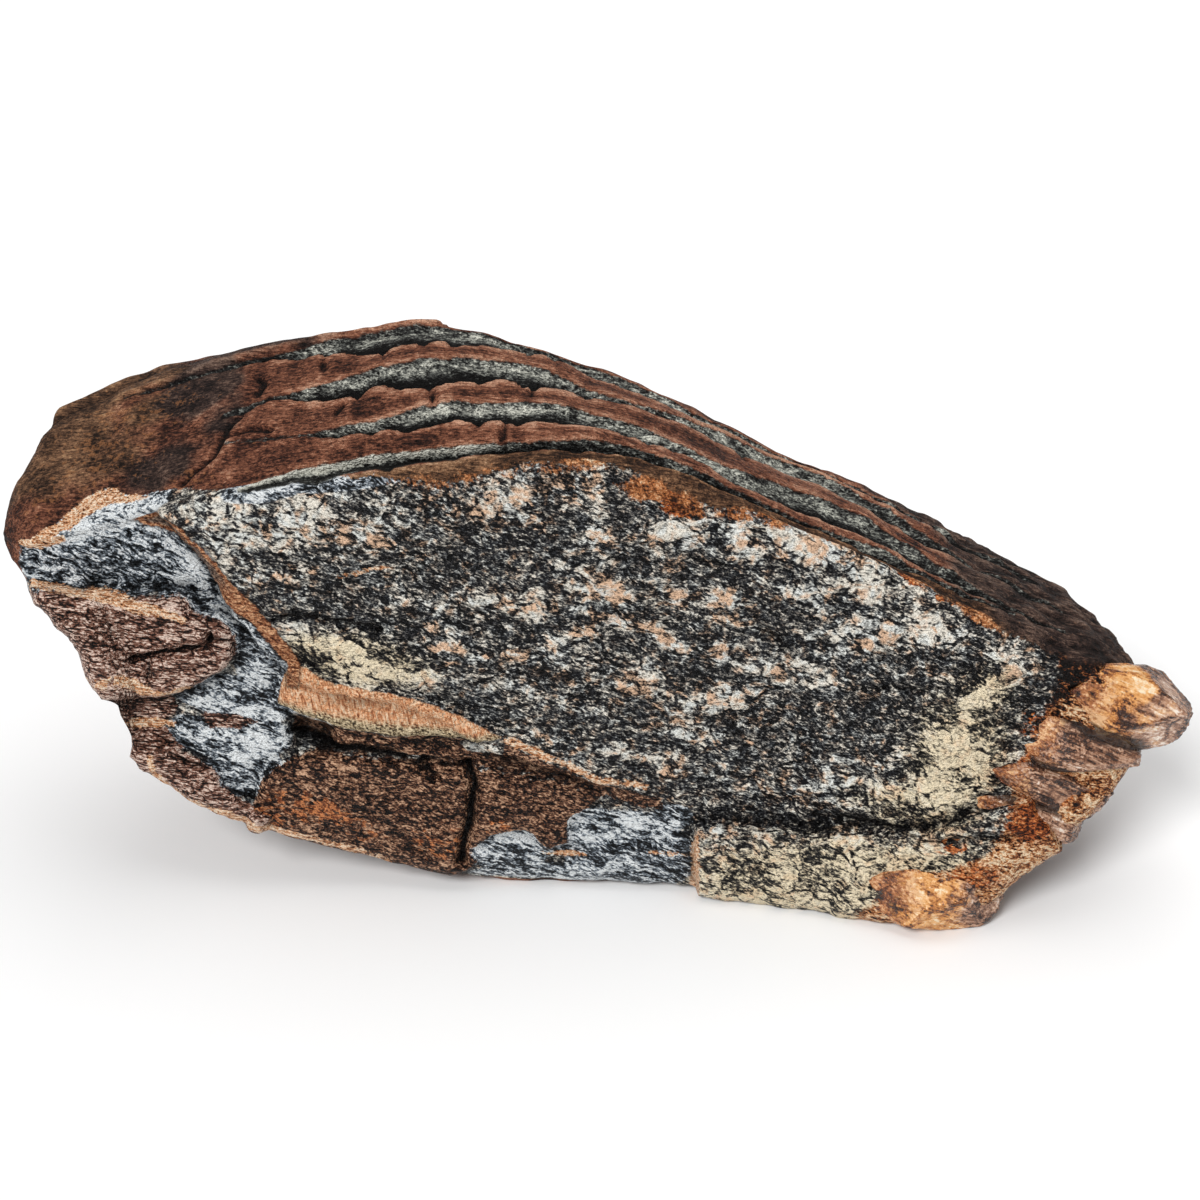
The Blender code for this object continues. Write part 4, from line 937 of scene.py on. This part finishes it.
place = place_in_mm()
bend = node("Attribute", {}, attribute_name="bend").outputs["Vector"]
bent = node("VectorMath", {0: place, 1: bend}, operation="ADD").outputs["Vector"]
fray = mottle(place, 0.9, 2, 0.7)
# Fine grains. Where the colours below use them, their brightest specks also stand in as painted glints.
speck = mottle(grain(place, 1.9, 20), 0.42, 1, 0.85)
lines = mottle(grain(place, 7, 7), 0.45, 2, 0.8)
fibre = mottle(grain(bent, 4.5, 20), 0.55, 2, 0.8)
blotch = mottle(grain(bent, 1.9, 17), 2.4, 3, 0.6)
streak = mottle(grain(bent, 8, 22), 0.75, 2, 0.75)
cracked = above(sum_of(times(edge_gap(grain(bent, 3.2, 8), 1.3), -1), times(fray, 0.14)), 0.01, 0.06)
# The hollow marking darkens the tones below as painted shade.
wander, hollow = marking("wander"), marking("hollow")
ragged = sum_of(times(fray, 2.4), times(wander, 1.6), -2.0)


def edge_of(name, fraying=1.0, softness=0.18):
    """1 inside a marking, with a frayed border."""
    return above(sum_of(marking(name), times(ragged, fraying)), 0, softness)


# Mottled stone of the broken face: black, grey and white grains smeared along the tooth, with tan and
# bluish ones among them. White lumps are parted by dark gaps.
BIG_GRAIN = 2.8
big_grains = grain(bent, 1.5, 18)
big_level, big_tint = grains(big_grains, BIG_GRAIN)
small_level, small_tint = grains(grain(bent, 2.2, 20), 0.8)
pale, dark, tan, rust, warm = (marking(name) for name in ("pale", "dark", "tan", "rust", "warm"))
crevice = above(sum_of(times(edge_gap(big_grains, BIG_GRAIN), -1), times(fray, 0.16)), 0.01, 0.05)
lump = sum_of(times(blotch, 1.7), times(fibre, 0.9), times(big_level, 0.25), -1.0, times(crevice, -0.35))
lump = sum_of(lump, times(pale, 0.47), times(dark, -0.27), times(warm, 0.1), 0.01)
lump = above(lump, 0.56, 0.28)
# In the dark stone the speck's bright peaks are painted glints as well as grain.
uneven = sum_of(times(small_level, 0.34), times(speck, 1.3), times(fibre, 0.6), -1.105)
calm = node("MapRange", {"Value": lump, "To Min": 1.0, "To Max": 0.72}).outputs["Result"]
lump_light = sum_of(0.21, times(marking("cloud"), 0.26), times(pale, 0.08))
tone = sum_of(times(uneven, calm), 0.43, times(lump, lump_light), times(hollow, -0.1))
brightness = shades(
    tone, (0.22, 3, 3, 5), (0.36, 22, 23, 27), (0.47, 58, 59, 63),
    (0.58, 112, 111, 109), (0.70, 178, 175, 168), (0.84, 246, 243, 235),
)
bluish, cream = (0.92, 0.97, 1.0, 1), (1.0, 0.96, 0.90, 1)
tan_pink, yellow = (0.9, 0.61, 0.44, 1), (1.0, 0.86, 0.62, 1)
tint = mottle(bent, 2.0, 1)
tan_here = above(sum_of(times(tint, 1.0), times(small_tint, 0.2), times(tan, 0.24)), 0.75, 0.12)
blue_here = above(sum_of(times(tint, -1), times(big_tint, 0.2)), -0.33, 0.1)
hue = mixed(tan_here, mixed(blue_here, cream, bluish), tan_pink)
warmth = above(sum_of(times(warm, 0.55), times(fray, 0.7), times(tint, -0.5)), 0.42, 0.3)
hue = mixed(times(warmth, 0.85), hue, yellow)
face_colour = mixed(1.0, brightness, hue, "MULTIPLY")
rusty_tone = sum_of(times(speck, 0.9), times(fray, 0.5), times(blotch, 0.7), times(cracked, -0.2), -0.53)
rusty = shades(
    rusty_tone, (0.28, 48, 20, 10), (0.42, 126, 62, 30), (0.54, 188, 100, 50),
    (0.68, 226, 150, 92), (0.84, 250, 214, 168),
)
rust_here = above(sum_of(rust, times(small_level, 0.5), times(fray, 0.4)), 1.1, 0.08)
face_colour = mixed(rust_here, face_colour, rusty)

# Streaked stone: blue-grey fibres with bright streaks, in the lens at the left and along the bottom.
streak_tone = sum_of(times(streak, 1.45), times(speck, 0.85), times(fibre, 0.5), times(blotch, 0.95), -1.36)
streak_tone = sum_of(streak_tone, times(marking("streak_light"), 0.24), times(hollow, -0.12))
streak_colour = shades(
    streak_tone, (0.26, 6, 8, 10), (0.40, 30, 34, 38), (0.50, 76, 83, 90),
    (0.60, 142, 151, 160), (0.74, 238, 242, 243),
)
streaked = above(sum_of(marking("streaked"), times(ragged, 0.12)), 0.5, 0.06)
colour = mixed(streaked, face_colour, streak_colour)

# Granular brown plate along the bottom: black and brown pebbly grains with orange-tan ones.
pebble_tone = sum_of(times(speck, 1.3), times(small_level, 0.3), times(lines, 0.5), times(blotch, 0.6), -0.80)
pebble_tone = sum_of(pebble_tone, times(cracked, -0.2), times(dark, -0.03))
pebble_colour = shades(
    pebble_tone, (0.26, 10, 5, 4), (0.40, 44, 27, 20), (0.52, 92, 61, 46),
    (0.64, 142, 102, 78), (0.84, 216, 174, 142),
)
orange_grains = mixed(above(speck, 0.5, 0.1), pigment(112, 58, 34), pigment(212, 136, 86))
orange_here = above(sum_of(times(rust, 0.45), times(small_tint, 0.4), times(fray, 0.4)), 0.72, 0.08)
colour = mixed(edge_of("granular", 0.7), colour, mixed(orange_here, pebble_colour, orange_grains))

# Bark-like brown plate at the left: fine dark cracks along it over purple-brown stone.
# The speck term also lays painted glints on the bark.
bark_tone = sum_of(times(lines, 1.8), times(speck, 0.75), times(blotch, 0.6), -0.975, times(hollow, -0.14))
bark_tone = sum_of(bark_tone, times(cracked, -0.26))
bark_colour = shades(
    bark_tone, (0.24, 8, 4, 3), (0.38, 48, 30, 24), (0.50, 98, 63, 50),
    (0.63, 148, 104, 86), (0.82, 238, 212, 196),
)
colour = mixed(edge_of("bark", 0.5), colour, bark_colour)

# The wedge of orange stone: fine striations across it, paler and greener at its foot. The vein that runs
# up from it has a greyer heart between orange margins.
stria = mottle(grain(place, 7, 80), 0.42, 1, 0.8)
wedge_colour = shades(
    sum_of(times(stria, 0.8), times(speck, 0.25), 0.03), (0.36, 124, 68, 42), (0.46, 202, 133, 90),
    (0.56, 232, 172, 127), (0.70, 252, 217, 182),
)
foot_colour = shades(
    sum_of(times(stria, 0.4), times(speck, 0.8)), (0.48, 40, 33, 26), (0.58, 150, 130, 98),
    (0.68, 226, 206, 170),
)
wedge_foot = above(sum_of(marking("wedge_foot"), times(ragged, 0.8)), 0, 1.0)
colour = mixed(edge_of("wedge", 0.25), colour, mixed(wedge_foot, wedge_colour, foot_colour))
vein_tone = sum_of(times(lines, 0.5), times(speck, 0.7))
vein_heart = shades(vein_tone, (0.48, 44, 34, 30), (0.60, 98, 78, 67), (0.74, 166, 142, 124))
vein_margin = shades(vein_tone, (0.48, 80, 43, 27), (0.60, 156, 98, 64), (0.74, 226, 174, 132))
heart = above(sum_of(marking("vein"), times(ragged, 0.3)), 0.75, 0.3)
heart = times(heart, marking("vein_grey"))
vein_rim = above(sum_of(marking("vein"), times(ragged, 0.5)), -0.45, 0.4)
colour = mixed(times(vein_rim, 0.75), colour, pigment(26, 17, 13))
colour = mixed(edge_of("vein", 0.5), colour, mixed(heart, vein_margin, vein_heart))

# Rind and ribs: red-brown stone with a fine nap along the tooth, olive and purple in places, and the grooves
# between the ribs black on their near side and grey-white on their far side, partly their mineral and partly
# painted shade and painted light. Orange strands hang from the rind's edge.
rind_tone = sum_of(times(lines, 0.9), times(marking("cloud"), 0.7), times(fray, 0.5), -0.58)
rind_tone = sum_of(rind_tone, times(hollow, -0.3))
rind_colour = shades(
    rind_tone, (0.26, 22, 10, 7), (0.40, 64, 35, 25), (0.52, 112, 68, 50),
    (0.64, 148, 96, 72), (0.86, 206, 158, 130),
)
olive_colour = shades(
    rind_tone, (0.26, 26, 17, 11), (0.44, 82, 58, 42), (0.6, 134, 98, 72),
    (0.84, 190, 150, 112),
)
purple_colour = shades(
    rind_tone, (0.26, 14, 9, 8), (0.44, 48, 35, 31), (0.6, 88, 68, 59),
    (0.84, 146, 120, 104),
)
plate_colour = shades(
    rind_tone, (0.26, 24, 15, 10), (0.42, 68, 46, 32), (0.54, 108, 76, 54),
    (0.68, 150, 112, 82), (0.86, 200, 162, 128),
)
rind_colour = mixed(edge_of("crest_plate", 0.4, 0.4), rind_colour, plate_colour)
olive_here = above(sum_of(marking("olive"), times(wander, 0.6)), 0.75, 0.3)
rind_colour = mixed(olive_here, rind_colour, olive_colour)
purple_here = above(sum_of(marking("purple"), times(wander, 0.7)), 0.85, 0.2)
rind_colour = mixed(purple_here, rind_colour, purple_colour)
fleck = above(sum_of(times(fray, 0.6), times(small_level, 0.3), times(marking("flecks"), 0.16)), 0.68, 0.04)
rind_colour = mixed(times(fleck, 0.4), rind_colour, pigment(166, 110, 68))
colour = mixed(edge_of("rind", 0.7), colour, rind_colour)
strand_tone = sum_of(times(stria, 0.4), times(speck, 0.7), times(blotch, 0.8), -0.45)
strand_colour = shades(
    strand_tone, (0.32, 44, 24, 14), (0.44, 122, 70, 38), (0.55, 186, 116, 68),
    (0.68, 222, 166, 120), (0.80, 246, 216, 180),
)
strands = above(sum_of(marking("gold"), times(stria, 0.5), times(fray, 0.8), times(blotch, 1.2)), 1.84, 0.22)
colour = mixed(strands, colour, strand_colour)
# The orange-tan bands: partly the stone's colour, partly painted highlight on the lit edges of steps.
band_tone = sum_of(times(lines, 0.9), times(speck, 0.8), -0.28)
band_colour = shades(
    band_tone, (0.30, 50, 26, 15), (0.42, 146, 90, 56), (0.53, 216, 156, 110),
    (0.70, 252, 228, 200),
)
colour = mixed(edge_of("tan_band", 0.7), colour, band_colour)
groove_tone = sum_of(times(speck, 1.0), times(blotch, 0.6), times(lines, 0.5), times(small_level, 0.18))
groove_tone = sum_of(groove_tone, times(marking("groove_light"), 0.4), times(hollow, -0.08), -0.80)
groove_colour = shades(
    groove_tone, (0.20, 7, 5, 4), (0.34, 29, 28, 27), (0.50, 80, 81, 78),
    (0.64, 150, 151, 142), (0.84, 230, 229, 215),
)
colour = mixed(edge_of("groove", 0.3), colour, groove_colour)

# Rust and amber stone at the right, where the plates end as fingers, and painted shade in every crack and in
# the hollows.
amber_tone = sum_of(times(fibre, 1.0), times(speck, 1.0), times(small_level, 0.3), times(blotch, 0.8), -0.895)
amber_tone = sum_of(amber_tone, times(dark, -0.3), times(pale, 0.14), times(cracked, -0.12))
amber_colour = shades(
    amber_tone, (0.26, 12, 7, 5), (0.38, 66, 33, 19), (0.50, 148, 86, 48),
    (0.62, 206, 144, 92), (0.84, 248, 220, 184),
)
rust_here = above(sum_of(rust, times(fray, 0.8), times(small_level, 0.3)), 1.15, 0.2)
amber_colour = mixed(rust_here, amber_colour, rusty)
amber_here = above(sum_of(marking("amber"), times(ragged, 2.0)), 0, 1.0)
amber_here = times(amber_here, above(times(marking("rind"), -1), -0.5, 0.8))
colour = mixed(amber_here, colour, amber_colour)
# Every crack is painted near-black: painted shade.
crack_shade = above(sum_of(times(marking("crack"), -1), times(ragged, 0.25)), -0.25, 0.25)
colour = mixed(crack_shade, colour, pigment(14, 8, 6))
# Painted shade: the colour is darkened further in the hollows.
shadowed = node("MapRange", {"Value": hollow, "From Min": 0.1, "From Max": 1.4, "To Min": 1.0, "To Max": 0.3})
colour = mixed(1.0, colour, shadowed.outputs["Result"], "MULTIPLY")
tree.links.new(colour, surface.inputs["Base Color"])

# Its gloss and fine bumps: dark grains of the face shine, and the rind is dull.
dull = sum_of(0.2, times(edge_of("rind", 0.5), 0.36), times(speck, 0.25))
tree.links.new(dull, surface.inputs["Roughness"])
surface.inputs["Specular IOR Level"].default_value = 0.15
roughen(sum_of(times(speck, 0.8), times(fray, 0.9), times(lines, 0.5)), 1.0, 1.2 * MM)
block_mesh.materials.clear()
block_mesh.materials.append(stone)
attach(tooth_block, "root")
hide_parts("mammoth_tooth")

# The finger ends: where each plate ends at the right it is divided into rounded fingers of amber-like
# stone, chipped flat in places. They grow out of the block, one below another. Each row of the front
# plate's fingers is tip x, middle y and z, half depth, half height, and fall in degrees.
FRONT_FINGERS = (
    (110.6, -20.5, 41.3, 7.5, 7.8, 16),
    (101.5, -23, 34.6, 6.5, 6, 16),
    (96.5, -25, 27, 6.5, 6, 16),
    (93, -26.5, 21, 6, 5, 14),
    (82, -29.5, 12.8, 6.5, 6, 12),
    (76.5, -33.5, 7, 7.5, 7.4, 4),
)
# How golden each of them is, and the hidden ones. Then the flats broken off some, by the finger's number:
# the way each flat faces and how far out it lies.
GOLDEN, HIDDEN_GOLDEN = (0.9, 0.25, 0.1, 0.1, 0.2, 1.1), 0.3
FLATS = {
    0: (((-0.15, -0.88, 0.45), 0.72), ((0.45, -0.85, -0.25), 0.8), ((0.62, 0, 0.78), 0.86)),
    1: (((0.3, -0.8, 0.5), 0.8), ((0.55, -0.5, -0.65), 0.84)),
    2: (((0.25, -0.9, 0.1), 0.82),),
    4: (((0.3, -0.8, -0.5), 0.82),),
    5: (((-0.1, -0.8, 0.6), 0.8), ((0.3, -0.9, -0.2), 0.82)),
}
# The rows of finger ends on the plates behind: y of the top one, then (tip x, middle z) from it down.
PLATES_BEHIND = (
    (-9.5, ((104.5, 37.5), (99, 28), (89, 18.5), (76, 9))),
    (3, ((102, 36), (96, 26), (86, 16), (74, 7.5))),
    (14, ((96, 34.5), (89, 25), (80, 15.5))),
)
ROW_LEAN = 0.33
HIDDEN_HALF_DEPTH, HIDDEN_HALF_HEIGHT, HIDDEN_FALL = 6.4, 5.6, 14
FINGER_LENGTH = 27.0
SQUARENESS = 2.8
CHIPS, CHIP_REACH = 14, (0.82, 1.02)
# The lumps on a finger, large, small and fine, as shares of its size, and how close they lie. Its fibres
# are as high a share. Its skin lies at about this share of the squared egg, because chips take off the rest.
LARGE_LUMP, LARGE_LUMP_PACE = 0.10, 1.7
SMALL_LUMP, SMALL_LUMP_PACE = 0.05, 4.5
FINE_LUMP, FINE_LUMP_PACE = 0.01, 14
FIBRE_HEIGHT = 0.022
FINGER_SKIN = 0.94


def finger(body, number, tip, y, z, half_depth, half_height, fall, fineness):
    """One finger end: a squared egg, sunk in the block behind it, with flat chips broken off."""
    egg = bmesh.ops.create_icosphere(body, subdivisions=fineness, radius=1)["verts"]
    size = Matrix.Diagonal((FINGER_LENGTH / 2, half_depth, half_height, 1))
    turn = Matrix.Rotation(math.radians(fall), 4, "Y")
    along, facet, golden = (body.verts.layers.float[name] for name in ("along", "facet", "golden"))
    dice = np.random.default_rng(60 + number)
    chips = [(Vector(dice.normal(size=3)).normalized(), dice.uniform(*CHIP_REACH)) for _ in range(CHIPS)]
    chips += [(Vector(direction).normalized(), reach) for direction, reach in FLATS.get(number, ())]
    for vert in egg:
        start = vert.co.copy()
        lump = LARGE_LUMP * noise.noise(start * LARGE_LUMP_PACE + Vector((0, 0, 3 * number)))
        lump += SMALL_LUMP * noise.noise(start * SMALL_LUMP_PACE + Vector((number, 0, 0)))
        squared = sum(abs(axis) ** SQUARENESS for axis in start) ** (-1 / SQUARENESS)
        vert.co *= squared * (1 + lump)
        vert[facet] = 9
        for direction, reach in chips:
            over = vert.co.dot(direction) - reach
            vert[facet] = min(vert[facet], abs(over) * half_height)
            vert.co -= direction * max(0, over)
        fibres = noise.noise(Vector((start.x * 2.2, start.y * 9, start.z * 9 + 2 * start.x * start.x)))
        vert.co *= 1 + FIBRE_HEIGHT * fibres + FINE_LUMP * noise.noise(start * FINE_LUMP_PACE)
        vert[along] = start.x
        vert[golden] = GOLDEN[number] if number < len(GOLDEN) else HIDDEN_GOLDEN
    middle = Matrix.Translation((tip - FINGER_LENGTH / 2 - MIDDLE_X, y - MIDDLE_Y, z))
    bmesh.ops.transform(body, matrix=Matrix.Scale(MM, 4) @ middle @ turn @ size, verts=egg)


def mark_seams(mesh, fingers):
    """Marks how many millimetres each point is from the surface of the nearest other finger."""
    points = np.empty(len(mesh.vertices) * 3)
    mesh.vertices.foreach_get("co", points)
    points = points.reshape(-1, 3) / MM + (MIDDLE_X, MIDDLE_Y, 0)
    own = np.arange(len(points)) // (len(points) // len(fingers))
    nearest = np.full(len(points), 9.0)
    for number, (tip, y, z, half_depth, half_height, fall) in enumerate(fingers):
        off = points - (tip - FINGER_LENGTH / 2, y, z)
        cos, sin = math.cos(math.radians(fall)), math.sin(math.radians(fall))
        lengthwise, upright = off[:, 0] * cos - off[:, 2] * sin, off[:, 0] * sin + off[:, 2] * cos
        local = np.stack([lengthwise, off[:, 1], upright], axis=1)
        local /= (FINGER_LENGTH / 2, half_depth, half_height)
        reach = (np.abs(local) ** SQUARENESS).sum(axis=1) ** (1 / SQUARENESS)
        nearest = np.where(own == number, nearest, np.minimum(nearest, (reach - FINGER_SKIN) * half_height))
    layer = mesh.attributes.new("seam", "FLOAT", "POINT")
    layer.data.foreach_set("value", nearest.astype(np.float32))


def finger_piece(name, fingers, fineness):
    body = bmesh.new()
    for layer in ("along", "facet", "golden"):
        body.verts.layers.float.new(layer)
    for number, measures in fingers:
        finger(body, number, *measures, fineness)
    for vert in body.verts:
        vert.co.z = max(vert.co.z, 0)
    for face in body.faces:
        face.smooth = True
    mesh = bpy.data.meshes.new(name)
    body.to_mesh(mesh)
    body.free()
    mark_seams(mesh, [measures for number, measures in fingers])
    piece = bpy.data.objects.new(name, mesh)
    bpy.context.scene.collection.objects.link(piece)
    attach(piece, "root")
    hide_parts("mammoth_tooth")
    return piece


hidden_fingers = []
number = len(FRONT_FINGERS)
for top_y, row in PLATES_BEHIND:
    for tip, height_here in row:
        row_y = top_y - ROW_LEAN * (row[0][1] - height_here)
        measures = (tip, row_y, height_here, HIDDEN_HALF_DEPTH, HIDDEN_HALF_HEIGHT, HIDDEN_FALL)
        hidden_fingers.append((number, measures))
        number += 1
front_ends = finger_piece("front_finger_ends", list(enumerate(FRONT_FINGERS)), 6)
hidden_ends = finger_piece("hidden_finger_ends", hidden_fingers, 5)

amber = bpy.data.materials.new("amber stone")
amber.use_nodes = True
tree = amber.node_tree
surface = tree.nodes["Principled BSDF"]
place = place_in_mm()
fray = mottle(place, 0.9, 2, 0.7)
fibre = mottle(grain(place, 8, 28), 0.6, 3, 0.7)
cloud = mottle(place, 5, 3)
speck = mottle(place, 0.5, 1, 0.8)
chipped = above(sum_of(times(marking("facet"), -1), times(fray, 1.6), times(cloud, 1.2)), 1.12, 0.12)
tone = sum_of(times(fibre, 1.1), times(cloud, 1.1), times(speck, 0.4), -0.735, times(chipped, -0.22))
colour = shades(
    tone, (0.26, 46, 27, 20), (0.40, 122, 82, 61), (0.52, 178, 134, 106),
    (0.66, 214, 176, 150), (0.84, 252, 238, 224),
)
gold_colour = shades(
    tone, (0.24, 58, 28, 13), (0.38, 164, 98, 46), (0.50, 216, 148, 80),
    (0.66, 238, 182, 118), (0.84, 253, 232, 198),
)
gold_here = sum_of(times(marking("golden"), 0.6), times(marking("along"), -0.55))
gold_here = sum_of(gold_here, times(cloud, 0.9), times(fray, 0.3))
colour = mixed(above(gold_here, 1.04, 0.12), colour, gold_colour)
roots = above(sum_of(times(marking("along"), -1), times(fray, 1.2), times(cloud, 0.8)), 1.45, 0.2)
root_tone = sum_of(times(speck, 0.3), times(fray, 0.7), times(cloud, 1.3), times(fibre, 0.7), -0.99)
root_colour = shades(
    root_tone, (0.26, 14, 8, 5), (0.40, 104, 54, 30), (0.54, 178, 112, 66), (0.70, 232, 184, 136),
)
colour = mixed(roots, colour, root_colour)
# Where one finger meets the next, the colour is darkened as painted shade.
seam = above(sum_of(times(marking("seam"), -1), times(fray, 1.2), times(cloud, 1.0)), 0.42, 0.5)
colour = mixed(times(seam, 0.86), colour, pigment(24, 13, 9))
tree.links.new(colour, surface.inputs["Base Color"])
surface.inputs["Roughness"].default_value = 0.18
roughen(sum_of(times(fibre, 0.8), times(fray, 0.5), times(speck, 0.2)), 0.9, 0.8 * MM)
front_ends.data.materials.append(amber)
hidden_ends.data.materials.append(amber)

# A plain white floor under the tooth, lit by one soft box high above it, by broad soft sunlight from above,
# the front and the left, and by an even white room.
floor_body = bmesh.new()
bmesh.ops.create_grid(floor_body, x_segments=1, y_segments=1, size=8)
floor_mesh = bpy.data.meshes.new("floor")
floor_body.to_mesh(floor_mesh)
floor_body.free()
floor = bpy.data.objects.new("floor", floor_mesh)
floor_paint = bpy.data.materials.new("white paper")
floor_paint.use_nodes = True
floor_paint.node_tree.nodes["Principled BSDF"].inputs["Base Color"].default_value = (0.94, 0.94, 0.94, 1)
floor_paint.node_tree.nodes["Principled BSDF"].inputs["Roughness"].default_value = 0.9
floor_mesh.materials.append(floor_paint)
bpy.context.scene.collection.objects.link(floor)


def softbox(name, place, aim, width, power):
    light = bpy.data.lights.new(name, "AREA")
    light.shape = "SQUARE"
    light.size = width
    light.energy = power
    box = bpy.data.objects.new(name, light)
    box.location = place
    box.rotation_euler = (Vector(aim) - Vector(place)).to_track_quat("-Z", "Y").to_euler()
    bpy.context.scene.collection.objects.link(box)


softbox("top", (0.1, 0.25, 1.1), (0, 0, 0.04), 1.0, 6)
sun = bpy.data.lights.new("key", "SUN")
sun.energy = 2.2
sun.angle = math.radians(24)
key = bpy.data.objects.new("key", sun)
key.rotation_euler = Vector((0.5, 0.75, -0.95)).to_track_quat("-Z", "Y").to_euler()
bpy.context.scene.collection.objects.link(key)
room = bpy.data.worlds.new("white room")
room.use_nodes = True
tree = room.node_tree
seen = node("LightPath", {}).outputs["Is Camera Ray"]
strength = node("MapRange", {"Value": seen, "To Min": 0.28, "To Max": 1.0}).outputs["Result"]
tree.nodes["Background"].inputs["Color"].default_value = (1, 1, 1, 1)
tree.links.new(strength, tree.nodes["Background"].inputs["Strength"])
bpy.context.scene.world = room
bpy.context.scene.view_settings.view_transform = "Standard"
